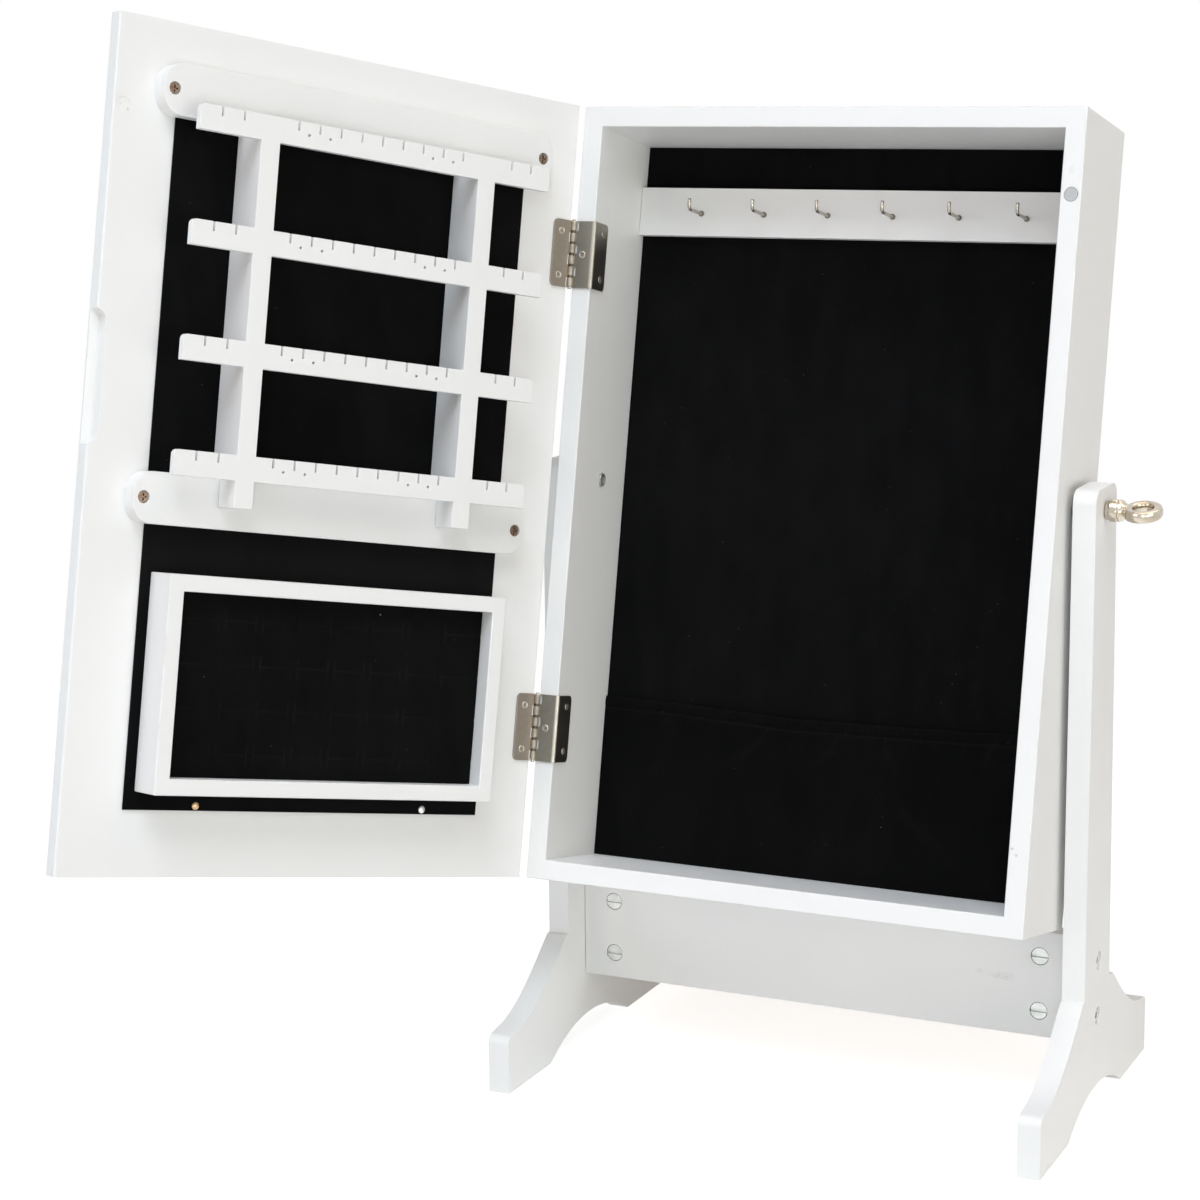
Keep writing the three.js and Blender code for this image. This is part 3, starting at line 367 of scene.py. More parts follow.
def velvetMaterial(name, pile, brushed):
    material, tree, shader = newMaterial(name)
    flock = placeGroup(tree, flockedVelvet, Pile=pile, Brushed=brushed)
    link(tree, flock.outputs["Colour"], shader.inputs["Base Color"])
    setInputs(shader, {
        "Roughness": 0.95, "Specular IOR Level": 0.07,
        "Sheen Weight": blackVelvet["sheen"], "Sheen Roughness": 0.4,
    })
    bumpFrom(tree, shader, flock.outputs["Height"], 0.5, 0.0003)
    return material


def metalMaterial(name, bright, dull, smooth, rough, relief=0.03):
    material, tree, shader = newMaterial(name)
    plating = placeGroup(
        tree, platedMetal, Bright=(*bright, 1), Dull=(*dull, 1), Smooth=smooth, Rough=rough,
    )
    link(tree, plating.outputs["Colour"], shader.inputs["Base Color"])
    link(tree, plating.outputs["Roughness"], shader.inputs["Roughness"])
    shader.inputs["Metallic"].default_value = 1.0
    bumpFrom(tree, shader, plating.outputs["Height"], relief, 0.00005)
    return material


def mirrorMaterial():
    material, tree, shader = newMaterial("silvered_glass")
    haze = noiseAt(tree, ownPlace(tree), 22, 4, 0.6)
    link(tree, spread(tree, haze, 0.35, 0.75, 0.015, 0.05), shader.inputs["Roughness"])
    hazy = spread(tree, haze, 0.4, 0.8)
    tone = blendColours(tree, hazy, (0.86, 0.88, 0.885, 1), (0.82, 0.84, 0.845, 1))
    link(tree, tone, shader.inputs["Base Color"])
    shader.inputs["Metallic"].default_value = 1.0
    return material


def grainMaterial(name, dark, light, roughness):
    material, tree, shader = newMaterial(name)
    grain = noiseAt(tree, ownPlace(tree), 900, 3, 0.6)
    tone = blendColours(tree, spread(tree, grain, 0.35, 0.7), dark, light)
    link(tree, tone, shader.inputs["Base Color"])
    shader.inputs["Roughness"].default_value = roughness
    bumpFrom(tree, shader, grain, 0.2, 0.0001)
    return material


paint = paintMaterial("white_paint_film")
# a streak beside the right upper barrel nut
stretcherPaint = paintMaterial("smudged_paint_film", [
    ((0.1748, 0.1232, 0.0810), (95, 200, 330), 850.0, 0.28),
    ((0.1602, 0.1232, 0.0826), (260, 200, 520), 850.0, 0.26),
])
# specks on the strike plate
doorPaint = paintMaterial("door_paint_film", [
    ((-0.2555, -0.1566, 0.6166), (900, 900, 900), 2200.0, 0.45),
    ((-0.2533, -0.1531, 0.6132), (800, 800, 800), 2200.0, 0.75),
])
# two specks low on the right front edge, and a spot above the magnet
casePaint = paintMaterial("cabinet_paint_film", [
    ((0.2043, 0.0399, 0.1876), (820, 820, 820), 2200.0, 1.0),
    ((0.2067, 0.0392, 0.1841), (900, 900, 1000), 2200.0, 1.5),
    ((0.2077, 0.1210, 0.5725), (420, 300, 300), 1500.0, 0.22),
])
velvet = velvetMaterial("black_velvet_pile", blackVelvet["pile"], blackVelvet["brushed"])
pocketVelvet = velvetMaterial(
    "black_pocket_velvet", blackVelvet["pocketPile"], blackVelvet["pocketBrushed"],
)

# (name, bright, dull, smooth, rough, and the relief where it isn't 0.03)
platings = {
    "nickel": ("satin_nickel_plate", (0.37, 0.325, 0.27), (0.33, 0.29, 0.24), 0.32, 0.38),
    "brownNickel": ("rail_screw_plate", (0.27, 0.20, 0.15), (0.18, 0.12, 0.085), 0.3, 0.38),
    "greyNickel": ("grey_nickel_plate", (0.385, 0.365, 0.32), (0.34, 0.325, 0.28), 0.33, 0.39),
    "brightNickel": ("screw_nickel_plate", (0.56, 0.52, 0.46), (0.40, 0.36, 0.31), 0.26, 0.34),
    "knuckleNickel": (
        "knuckle_nickel_plate", (0.40, 0.355, 0.295), (0.31, 0.275, 0.225), 0.58, 0.66,
    ),
    # the sleeve in the knuckle gaps: painted shade, with some grime
    "shadeAndGrimeMetal": ("shade_and_grime_sleeve_plate", (0.15, 0.12, 0.10), (0.08, 0.065, 0.05), 0.4, 0.5),
    "screwNickel": ("hinge_screw_plate", (0.50, 0.46, 0.40), (0.38, 0.34, 0.29), 0.4, 0.48),
    "hookNickel": ("hook_nickel_plate", (0.52, 0.48, 0.42), (0.40, 0.36, 0.31), 0.24, 0.32, 0.02),
    "knobNickel": ("knob_nickel_plate", (0.60, 0.55, 0.47), (0.50, 0.43, 0.33), 0.13, 0.18, 0.02),
    "zinc": ("zinc_plate", (0.66, 0.67, 0.65), (0.45, 0.46, 0.44), 0.35, 0.55, 0.05),
    "paleZinc": ("barrel_nut_zinc", (0.66, 0.68, 0.66), (0.55, 0.57, 0.55), 0.45, 0.6, 0.05),
    "brass": ("brass_plate", (0.66, 0.45, 0.27), (0.40, 0.26, 0.14), 0.25, 0.45, 0.05),
}
metals = {key: metalMaterial(*plating) for key, plating in platings.items()}
mirror = mirrorMaterial()
blackPlastic = grainMaterial("moulded_black", (0.03, 0.03, 0.03, 1), (0.05, 0.05, 0.05, 1), 0.5)
magnetGrey = grainMaterial("magnet_coating", (0.52, 0.53, 0.53, 1), (0.44, 0.45, 0.45, 1), 0.5)
print("finishes made")


# ---- making and dressing pieces ----

def meshFrom(bm, name):
    mesh = bpy.data.meshes.new(name)
    bm.to_mesh(mesh)
    bm.free()
    return mesh


def addObject(name, data):
    made = bpy.data.objects.new(name, data)
    bpy.context.scene.collection.objects.link(made)
    return made


def finishPiece(bm, name, body, material, replaced=(), sharpFrom=50.0, weighted=True):
    mesh = meshFrom(bm, name)
    mesh.materials.append(material)
    mesh.polygons.foreach_set("use_smooth", [True] * len(mesh.polygons))
    mesh.set_sharp_from_angle(angle=math.radians(sharpFrom))
    piece = addObject(name, mesh)
    if weighted:
        normals = piece.modifiers.new("flatFaces", "WEIGHTED_NORMAL")
        normals.keep_sharp = True
    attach(piece, body)
    if replaced:
        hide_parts(*replaced)
    return piece


# a merged copy of a node's mesh, in the millimetres of the cabinet or the door,
# snapped so that faces meant to be flush lie in exactly one plane
def localCopy(name, body):
    bm = bmesh.new()
    bm.from_mesh(frame["nodes"][name].data)
    back = Matrix.Scale(1 / mm, 4) @ places[body].inverted()
    bmesh.ops.transform(bm, matrix=back, verts=bm.verts)
    for vertex in bm.verts:
        vertex.co = Vector([round(value, 2) for value in vertex.co])
    bmesh.ops.remove_doubles(bm, verts=bm.verts, dist=0.005)
    return bm


def localBox(name, body):
    back = places[body].inverted()
    points = [back @ vertex.co / mm for vertex in frame["nodes"][name].data.vertices]
    return [Vector([round(end(values), 2) for values in zip(*points)]) for end in (min, max)]


# for a mesh made in millimetres of the cabinet or the door
def setDown(bm, name, body, *rest):
    bmesh.ops.transform(bm, matrix=places[body] @ Matrix.Scale(mm, 4), verts=bm.verts)
    return finishPiece(bm, name, body, *rest)


def block(low, high):
    bm = bmesh.new()
    bmesh.ops.create_cube(bm, size=1.0)
    bmesh.ops.scale(bm, vec=Vector(high) - Vector(low), verts=bm.verts)
    bmesh.ops.translate(bm, vec=(Vector(high) + Vector(low)) / 2, verts=bm.verts)
    return bm


# a cylinder along z, or turned a quarter about another axis
def addRod(bm, radius, length, centre, sides=32, turnedAbout=None):
    made = bmesh.ops.create_cone(
        bm, cap_ends=True, segments=sides, depth=length, radius1=radius, radius2=radius,
    )["verts"]
    if turnedAbout:
        quarter = Matrix.Rotation(math.radians(90), 3, turnedAbout)
        bmesh.ops.rotate(bm, matrix=quarter, verts=made)
    bmesh.ops.translate(bm, vec=centre, verts=made)
    return bm


# several solids joined into one, or the others cut out of the first
def combined(parts, operation="UNION"):
    holders = [addObject("part", meshFrom(part, "part")) for part in parts]
    for other in holders[1:]:
        step = holders[0].modifiers.new("join", "BOOLEAN")
        step.operation = operation
        step.solver = "EXACT"
        step.object = other
    bpy.context.view_layer.update()
    result = holders[0].evaluated_get(bpy.context.evaluated_depsgraph_get())
    bm = bmesh.new()
    bm.from_mesh(result.to_mesh())
    for holder in holders:
        bpy.data.objects.remove(holder)
    bmesh.ops.remove_doubles(bm, verts=bm.verts, dist=0.02)
    bmesh.ops.dissolve_degenerate(bm, dist=0.01, edges=bm.edges)
    return bm


def everything(bm):
    return bm.verts[:] + bm.edges[:] + bm.faces[:]


# splits flat faces along planes through their holes, so that no slanted line is left in them
def squareUp(bm, planes):
    for point, normal in planes:
        bmesh.ops.bisect_plane(bm, geom=everything(bm), dist=0.01, plane_co=point, plane_no=normal)
    slanted = [
        edge for edge in bm.edges
        if len(edge.link_faces) == 2 and edge.calc_face_angle(0) < math.radians(0.6)
        and sum(abs(step) > 0.015 for step in edge.verts[1].co - edge.verts[0].co) > 1
    ]
    bmesh.ops.dissolve_edges(bm, edges=slanted, use_verts=True, use_face_split=False)
    bmesh.ops.remove_doubles(bm, verts=bm.verts, dist=0.02)


# rounds the sharp edges, apart from those below a level, and marks the narrow faces
# that this leaves
def softenEdges(bm, radius, fromAngle=28.0, planes=(), crispBelow=None):
    bmesh.ops.remove_doubles(bm, verts=bm.verts, dist=radius / 500)
    bmesh.ops.dissolve_limit(
        bm, angle_limit=math.radians(0.6), verts=bm.verts, edges=bm.edges,
        use_dissolve_boundaries=False,
    )
    if planes:
        squareUp(bm, planes)
    bmesh.ops.recalc_face_normals(bm, faces=bm.faces)
    band = bm.faces.layers.float.new("edgeBand")
    corners = [
        edge for edge in bm.edges
        if len(edge.link_faces) == 2 and edge.calc_face_angle(0) > math.radians(fromAngle)
        and (crispBelow is None or max(vertex.co.y for vertex in edge.verts) > crispBelow)
    ]
    made = bmesh.ops.bevel(
        bm, geom=corners, offset=radius, offset_type="OFFSET", segments=2,
        profile=0.5, affect="EDGES", clamp_overlap=not planes, material=-1,
    )
    for face in made["faces"]:
        face[band] = 1.0


def mergedCopy(name):
    bm = bmesh.new()
    bm.from_mesh(frame["nodes"][name].data)
    bmesh.ops.remove_doubles(bm, verts=bm.verts, dist=0.000002)
    return bm


def roundedCopy(name, body, material, radius):
    bm = mergedCopy(name)
    if radius > 0:
        softenEdges(bm, radius * mm)
    finishPiece(bm, name + "_finished", body, material, [name])


# ---- painted boards ----

boardEdges = {
    "stand": (1.1, ("left_upright", "right_upright")),
    "cabinet": (0.6, ("back_panel", "hook_bar")),
    "door": (0.7, ("ring_box_frame",)),
}
for body, (radius, names) in boardEdges.items():
    for name in names:
        roundedCopy(name, body, paint, radius)
roundedCopy("stretcher", "stand", stretcherPaint, boardEdges["stand"][0])
roundedCopy("door_board", "door", doorPaint, boardEdges["door"][0])

onDoor = {"seat": 0.3, "railEdge": 1.2, "plateEdge": 0.12, "plateMargin": 0.28}


# let into the door board a little, so that the paint closes the joint
def seatedCopy(name, radius, margin=0.0):
    low, high = localBox(name, "door")
    middle = (low + high) / 2
    foot = low.y + 0.05
    bm = localCopy(name, "door")
    for vertex in bm.verts:
        if vertex.co.y < foot:
            vertex.co.y = low.y - onDoor["seat"]
        for axis in (0, 2):
            away = vertex.co[axis] - middle[axis]
            vertex.co[axis] += margin * away * 2 / (high[axis] - low[axis])
    softenEdges(bm, radius, crispBelow=foot)
    setDown(bm, name + "_finished", "door", doorPaint, [name])


for name in ("lower_rail", "upper_rail"):
    seatedCopy(name, onDoor["railEdge"])
seatedCopy("strike_plate", onDoor["plateEdge"], onDoor["plateMargin"])

cabinetCase = {
    "edge": 0.7,
    "insertHole": 4.1, "magnetRoom": 0.1, "magnetBore": 14.0,
    "boreMiddle": 6.7,        # in front of the magnet's back end
}


# the four boards are glued and sprayed as one, so no joint shows
def makeCabinetCase():
    names = ("left_side_board", "right_side_board", "bottom_board", "top_board")
    low = localBox("left_side_board", "cabinet")[0]
    high = localBox("right_side_board", "cabinet")[1]
    wall = armoire["wall"]
    pivotBack, pivotHeight = armoire["pivotFromFront"], armoire["pivotFromBottom"]
    cuts = [block(
        (low.x + wall, low.y - 5, low.z + wall), (high.x - wall, high.y + 5, high.z - wall),
    )]
    for side in (-1, 1):
        seat = (side * high.x, pivotBack, pivotHeight)
        hole = cabinetCase["insertHole"]
        cuts.append(addRod(bmesh.new(), hole, wall * 3, seat, turnedAbout="Y"))
    magnetLow, magnetHigh = localBox("door_magnet", "cabinet")
    magnet = (magnetLow + magnetHigh) / 2
    bore = (magnetHigh.x - magnetLow.x) / 2 + cabinetCase["magnetRoom"]
    seat = (magnet.x, magnetHigh.y - cabinetCase["boreMiddle"], magnet.z)
    cuts.append(addRod(bmesh.new(), bore, cabinetCase["magnetBore"], seat, turnedAbout="X"))
    bm = combined([block(low, high), *cuts], "DIFFERENCE")
    planes = [((side * (high.x - wall), 0, 0), (1, 0, 0)) for side in (-1, 1)]
    planes += [((0, 0, level), (0, 0, 1)) for level in (wall, high.z - wall, pivotHeight)]
    planes += [((0, pivotBack, 0), (0, 1, 0)), (magnet, (1, 0, 0)), (magnet, (0, 0, 1))]
    softenEdges(bm, cabinetCase["edge"], planes=planes)
    setDown(bm, "cabinet_case", "cabinet", casePaint, names)


earringRack = {"edge": 0.35, "overRails": 0.3, "studHoles": (35.5, 49.7)}


# the strips are halved into the posts, and the joints are filled and painted over
def makeEarringRack():
    posts = ("hinge_side_post", "free_side_post")
    strips = ["earring_strip_%d" % number for number in range(1, 5)]
    (_, lower), (upper, _) = [localBox(name, "door") for name in ("lower_rail", "upper_rail")]
    over = earringRack["overRails"]
    parts = [localCopy(name, "door") for name in strips]
    for post in posts:
        low, high = localBox(post, "door")
        parts.append(block((low.x, lower.y + over, low.z), high))
        parts.append(block((low.x, low.y, lower.z + over), (high.x, high.y, upper.z - over)))
    bm = combined(parts)
    boxes = [localBox(strip, "door") for strip in strips]
    planes = [((0, 0, (low.z + high.z) / 2), (0, 0, 1)) for low, high in boxes]
    middle = (boxes[0][0].x + boxes[0][1].x) / 2
    for side in (-1, 1):
        planes += [((middle + side * hole, 0, 0), (1, 0, 0)) for hole in earringRack["studHoles"]]
    softenEdges(bm, earringRack["edge"], planes=planes)
    setDown(bm, "earring_rack", "door", paint, (*strips, *posts))


makeCabinetCase()
makeEarringRack()
print("boards dressed")


# ---- metal ----

knobLook = {"turned": 10.0, "edge": 0.25}


# the ring comes to rest turned a little on its stud
def makeKnob(side):
    name = side + "_ring_knob"
    bm = mergedCopy(name)
    lean = Matrix.Rotation(math.radians(knobLook["turned"]), 4, "X")
    about = Matrix.Translation(pivot) @ lean @ Matrix.Translation(-pivot)
    bmesh.ops.transform(bm, matrix=about, verts=bm.verts)
    softenEdges(bm, knobLook["edge"] * mm, 40.0)
    finishPiece(bm, name + "_plated", side + "_knob", metals["knobNickel"], [name], 60)


for side in ("left", "right"):
    makeKnob(side)
    roundedCopy(side + "_spacer_washer", "stand", blackPlastic, 0.2)
    roundedCopy(side + "_threaded_insert", "cabinet", metals["zinc"], 0.15)
    for level in ("lower", "upper"):
        roundedCopy("%s_%s_barrel_nut" % (side, level), "stand", metals["paleZinc"], 0.3)
        roundedCopy("%s_%s_connector_bolt" % (side, level), "stand", metals["zinc"], 0.2)
for number in range(1, 7):
    roundedCopy("necklace_hook_%d" % number, "cabinet", metals["hookNickel"], 0.0)
roundedCopy("door_magnet", "cabinet", magnetGrey, 0.25)
for level in ("lower", "upper"):
    roundedCopy(level + "_hinge_pin", "cabinet", metals["brightNickel"], 0.1)
    for side in ("hinge", "free"):
        screw = "%s_rail_screw_%s_side" % (level, side)
        roundedCopy(screw, "door", metals["brownNickel"], 0.1)
roundedCopy("lining_screw_1", "door", metals["zinc"], 0.1)
roundedCopy("lining_screw_2", "door", metals["brass"], 0.1)
roundedCopy("mirror_pane", "door", mirror, 0.6)

hinge = {
    "lowerMiddle": 94.0, "upperMiddle": 389.5,
    "height": 42.0, "leafHeight": 41.7,
    "thickness": 1.0, "edge": 0.15, "corner": 3.0, "cornerSteps": 6, "bend": 2.5,
    "doorLeaf": 13.5,         # reach from the door's edge
    "wrap": 17.5,             # reach behind the cabinet's front
    "face": 1.3,              # from the board to the leaf's outer face
    "outset": 1.1,            # from the boards' ends out to the pin
    "knuckles": 6, "knuckle": 5.5, "barrel": 2.0, "knuckleEdge": 0.4,
    "doorNotch": 0.6, "cabinetNotch": 1.3, "notchRoom": 0.15,
    "pinClear": 1.25, "shadeSleeve": 1.7, "shadeSleeveShort": 2.0,
}


def knuckleLevels(ofDoor):
    height, count = hinge["height"], hinge["knuckles"]
    levels = [height / 2 - (index + 0.5) * (height / count) for index in range(count)]
    return [level for index, level in enumerate(levels) if (index % 2 == 0) == ofDoor]


# line: (x, y) of the leaf's outer face, from beside the pin outwards
def makeLeaf(name, body, material, line, middle):
    half, corner = hinge["leafHeight"] / 2, hinge["corner"]
    reach = hinge["knuckle"] / 2 + hinge["notchRoom"]
    notches = [(level - reach, level + reach) for level in knuckleLevels(body != "door")]
    ends = [min(half, max(-half, level)) for notch in notches for level in notch]
    rows = sorted({-half, half, *ends})
    travel = [0.0]
    for first, second in zip(line, line[1:]):
        travel.append(travel[-1] + math.hypot(second[0] - first[0], second[1] - first[1]))
    notchEnd = travel[1]
    bm = bmesh.new()
    grid = []
    for (x, y), along in zip(line, travel):
        past = max(0.0, along - (travel[-1] - corner))
        top = half - corner + math.sqrt(max(0.0, corner ** 2 - past ** 2))
        grid.append([bm.verts.new((x, y, max(-top, min(top, row)))) for row in rows])
    for along, near, far in zip(travel, grid, grid[1:]):
        for number, (low, high) in enumerate(zip(rows, rows[1:])):
            level = (low + high) / 2
            if along > notchEnd - 0.01 or not any(notch[0] < level < notch[1] for notch in notches):
                bm.faces.new((near[number], far[number], far[number + 1], near[number + 1]))
    loose = [vertex for vertex in bm.verts if not vertex.link_faces]
    bmesh.ops.delete(bm, geom=loose, context="VERTS")
    bmesh.ops.remove_doubles(bm, verts=bm.verts, dist=0.01)
    bmesh.ops.recalc_face_normals(bm, faces=bm.faces)
    near = min(bm.faces, key=lambda face: abs(face.calc_center_median().x - line[0][0]))
    if (near.normal.y < 0) == (body == "door"):
        bmesh.ops.reverse_faces(bm, faces=bm.faces)
    bmesh.ops.solidify(bm, geom=bm.faces, thickness=hinge["thickness"])
    softenEdges(bm, hinge["edge"])
    bmesh.ops.translate(bm, vec=(0, 0, middle), verts=bm.verts)
    setDown(bm, name + "_finished", body, material, [name], 40)


def makeKnuckles(name, body, x, y, middle):
    bm = bmesh.new()
    for level in knuckleLevels(body == "door"):
        centre = (x, y, middle + level)
        addRod(bm, hinge["barrel"], hinge["knuckle"], centre, 28)
    softenEdges(bm, hinge["knuckleEdge"])
    setDown(bm, name, body, metals["knuckleNickel"])


def makeHinge(level):
    middle, face = hinge[level + "Middle"], hinge["face"]
    clear, corner, bend = hinge["pinClear"], hinge["corner"], hinge["bend"]
    steps = hinge["cornerSteps"]
    rounding = [corner * step / steps for step in range(steps - 1, -1, -1)]
    halfGap = armoire["doorGap"] / 2

    pinX, end = -hinge["outset"], hinge["doorLeaf"]
    notch = hinge["barrel"] + hinge["doorNotch"]
    line = [(pinX + clear, face), (pinX + notch, face), (end - corner, face)]
    line += [(end - step, face) for step in rounding]
    makeLeaf(level + "_door_hinge_leaf", "door", metals["nickel"], line, middle)
    makeKnuckles(level + "_door_knuckles", "door", pinX, halfGap, middle)

    pinX, end = pinX - armoire["width"] / 2, hinge["wrap"]
    wall = armoire["wall"] - armoire["width"] / 2 + face
    notch = hinge["barrel"] + hinge["cabinetNotch"]
    line = [(pinX + clear, -face), (pinX + notch, -face)]
    for degrees in range(0, 91, 15):
        turned = math.radians(degrees)
        x, y = bend * math.sin(turned), bend * math.cos(turned)
        line.append((wall - bend + x, bend - face - y))
    line += [(wall, end - corner), *[(wall, end - step) for step in rounding]]
    makeLeaf(level + "_cabinet_hinge_leaf", "cabinet", metals["greyNickel"], line, middle)
    makeKnuckles(level + "_cabinet_knuckles", "cabinet", pinX, -halfGap, middle)

    # a dark sleeve round the pin shows in the gaps between the knuckles: painted shade, with some
    # grime
    length = hinge["height"] - hinge["shadeSleeveShort"]
    bm = addRod(bmesh.new(), hinge["shadeSleeve"], length, (pinX, -halfGap, middle), 24)
    setDown(bm, level + "_hinge_shade_sleeve", "cabinet", metals["shadeAndGrimeMetal"])


for level in ("lower", "upper"):
    makeHinge(level)

screws = {
    "radius": 2.3, "height": 0.34, "below": 0.6, "sides": 24,
    "slot": 0.75, "slotLength": 2.6, "slotDepth": 0.6,
    "doorAcross": 7.5, "doorSpacing": 27.4,
    "wrapDepth": 11.0, "wrapSpacing": 28.0, "frontAcross": -154.2,
    "doorTurn": 20, "cabinetTurn": 60, "nextTurn": 37,
    # (share of the radius, share of the height) from the rim to the middle
    "dome": ((1, 0.2), (0.94, 0.75), (0.83, 1), (0.72, 0.84), (0.6, 0.5), (0, 0.6)),
}


# a small ringed head with a cross recess, standing on z = 0
def screwHead(turned):
    radius, height, below = (screws[key] for key in ("radius", "height", "below"))
    bm = bmesh.new()
    profile = [(0, -below), (radius * 0.96, -below)]
    profile += [(radius * out, height * up) for out, up in screws["dome"]]
    points = [bm.verts.new((x, 0, z)) for x, z in profile]
    lines = [bm.edges.new(pair) for pair in zip(points, points[1:])]
    bmesh.ops.spin(
        bm, geom=points + lines, axis=(0, 0, 1), cent=(0, 0, 0), dvec=(0, 0, 0),
        angle=math.tau, steps=screws["sides"], use_merge=True, use_duplicate=False,
    )
    bmesh.ops.remove_doubles(bm, verts=bm.verts, dist=0.001)
    bmesh.ops.recalc_face_normals(bm, faces=bm.faces)
    half, reach = screws["slot"] / 2, screws["slotLength"] / 2
    floor, above = height - screws["slotDepth"], 3
    cross = [
        block((-reach, -half, floor), (reach, half, above)),
        block((-half, -reach, floor), (half, reach, above)),
    ]
    bm = combined([bm, *cross], "DIFFERENCE")
    turn = Matrix.Rotation(math.radians(turned), 3, "Z")
    bmesh.ops.rotate(bm, matrix=turn, verts=bm.verts)
    return bm


# heads at (point, outward direction), joined in one piece
def makeScrews(name, body, seats, turned):
    whole = bmesh.new()
    for number, (point, outward) in enumerate(seats):
        bm = screwHead(turned + screws["nextTurn"] * number)
        upright = Vector(outward).to_track_quat("Z", "Y").to_matrix().to_4x4()
        bmesh.ops.transform(bm, matrix=Matrix.Translation(point) @ upright, verts=bm.verts)
        mesh = meshFrom(bm, "head")
        whole.from_mesh(mesh)
        bpy.data.meshes.remove(mesh)
    setDown(whole, name, body, metals["screwNickel"], (), 40)


def seatLevels(level, spacing):
    return [hinge[level + "Middle"] + side * spacing / 2 for side in (-1, 1)]


for level in ("lower", "upper"):
    face = hinge["face"]
    levels = seatLevels(level, screws["doorSpacing"])
    seats = [((screws["doorAcross"], face, height), (0, 1, 0)) for height in levels]
    makeScrews(level + "_door_leaf_screws", "door", seats, screws["doorTurn"])
    wall = -armoire["width"] / 2 + armoire["wall"]
    levels = seatLevels(level, screws["wrapSpacing"])
    front = (screws["frontAcross"], -face, hinge[level + "Middle"])
    seats = [(front, (0, -1, 0))]
    seats += [((wall + face, screws["wrapDepth"], height), (1, 0, 0)) for height in levels]
    makeScrews(level + "_cabinet_leaf_screws", "cabinet", seats, screws["cabinetTurn"])
print("metal dressed")


# ---- velvet ----

def wave(x, z, size, seed):
    return noise.noise(Vector((x / size, z / size, seed)))


# how fast something dies away from a line: 1 on it, 0 far from it
def fading(away, reach):
    return math.exp(-((away / reach) ** 2))


def rimDistance(point, low, high):
    return min(point.x - low.x, high.x - point.x, point.z - low.z, high.z - point.z)


sheet = {
    "columns": 60, "rows": 80,
    "thickness": 0.85,        # share of the solid's
    "waves": 0.12, "waveSize": 38, "edgeDrop": 0.35, "edgeReach": 1.2,
    "rubbed": 0.3, "rubbedAt": 182, "rubbedReach": 22,    # a band across the door's lining
}


# a glued sheet of velvet: nearly flat, with slight waves and a soft edge
def makeVelvetSheet(name, body, seed):
    low, high = localBox(name, body)
    size, middle = high - low, (low + high) / 2
    bm = bmesh.new()
    bmesh.ops.create_grid(bm, x_segments=sheet["columns"], y_segments=sheet["rows"], size=0.5)
    bmesh.ops.rotate(bm, matrix=Matrix.Rotation(math.radians(90), 3, "X"), verts=bm.verts)
    bmesh.ops.scale(bm, vec=(size.x, 1, size.z), verts=bm.verts)
    bmesh.ops.translate(bm, vec=(middle.x, 0, middle.z), verts=bm.verts)
    outward = 1 if body == "door" else -1
    face = high.y if outward > 0 else low.y
    turned = bm.verts.layers.float.new("sheenDustAndWear")
    for vertex in bm.verts:
        point = vertex.co
        dip = sheet["waves"] * abs(wave(point.x, point.z, sheet["waveSize"], seed))
        rim = rimDistance(point, low, high)
        dip += sheet["edgeDrop"] * math.exp(-rim / sheet["edgeReach"])
        vertex.co.y = face - outward * dip
        if outward > 0:
            band = fading(point.z - sheet["rubbedAt"], sheet["rubbedReach"])
            vertex[turned] = sheet["rubbed"] * band
    bmesh.ops.recalc_face_normals(bm, faces=bm.faces)
    if bm.faces[:][0].normal.y * outward < 0:
        bmesh.ops.reverse_faces(bm, faces=bm.faces)
    bmesh.ops.solidify(bm, geom=bm.faces, thickness=size.y * sheet["thickness"])
    piece = setDown(bm, name + "_pile", body, velvet, [name], 60, False)


makeVelvetSheet("back_velvet", "cabinet", 3.1)
makeVelvetSheet("door_lining", "door", 7.7)

pocket = {
    # (across, height) along the top of the header, which sags left of the middle
    "topLine": (
        (-148, 114.8), (-104, 114.4), (-58, 112.9), (-18, 111.4), (20, 112.1), (53, 112.6),
        (85, 113.4), (124, 114.7), (148, 114.8),
    ),
    "halfWidth": 147.3,
    "columnSpacing": 0.7, "headerRows": 15, "frontRows": 44,
    "headerHeight": 7.5, "cloth": 0.8,
    "lift": 0.35,             # least room between the cloth and the back velvet
    "atEnds": 1.7,            # how far the front stands off the back velvet
    "headerSlack": 2.0, "casing": 0.35, "seamDip": 0.3, "belly": 2.9,
    "gatherPitch": 4.0, "gatherDepth": 0.42,
    "gathersFrom": 28.0,      # where the elastic is drawn in most
    "gathersReach": 40.0,
    "foldDepth": 0.8, "atFoot": 1.4,
    # (from, to, width, height) of the creases that run down from the header
    "creases": (
        ((-32.3, 106), (-37.6, 94.5), 1.3, 0.55), ((-37.6, 94.5), (-58, 79), 2.6, 0.35),
        ((14, 104), (11.4, 94), 1.3, 0.5), ((11.4, 94), (-6, 80), 3.0, 0.3),
        ((45, 104), (44.5, 98), 1.0, 0.5), ((44.5, 98), (53, 84), 2.4, 0.3),
        ((44.5, 98), (30, 86), 2.4, 0.25), ((-100.7, 104.6), (-108, 97), 1.2, 0.3),
        ((75.3, 103.5), (80, 99), 1.2, 0.35), ((111, 104), (108.5, 92), 2.0, 0.4),
        ((-108, 72), (-122, 58), 3.5, 0.25), ((60, 60), (96, 32), 3.5, 0.25),
    ),
}


def alongLine(points, x):
    for (fromX, fromZ), (toX, toZ) in zip(points, points[1:]):
        if x <= toX:
            share = (1 - math.cos(math.pi * (x - fromX) / (toX - fromX))) / 2
            return fromZ + share * (toZ - fromZ)
    return points[-1][1]


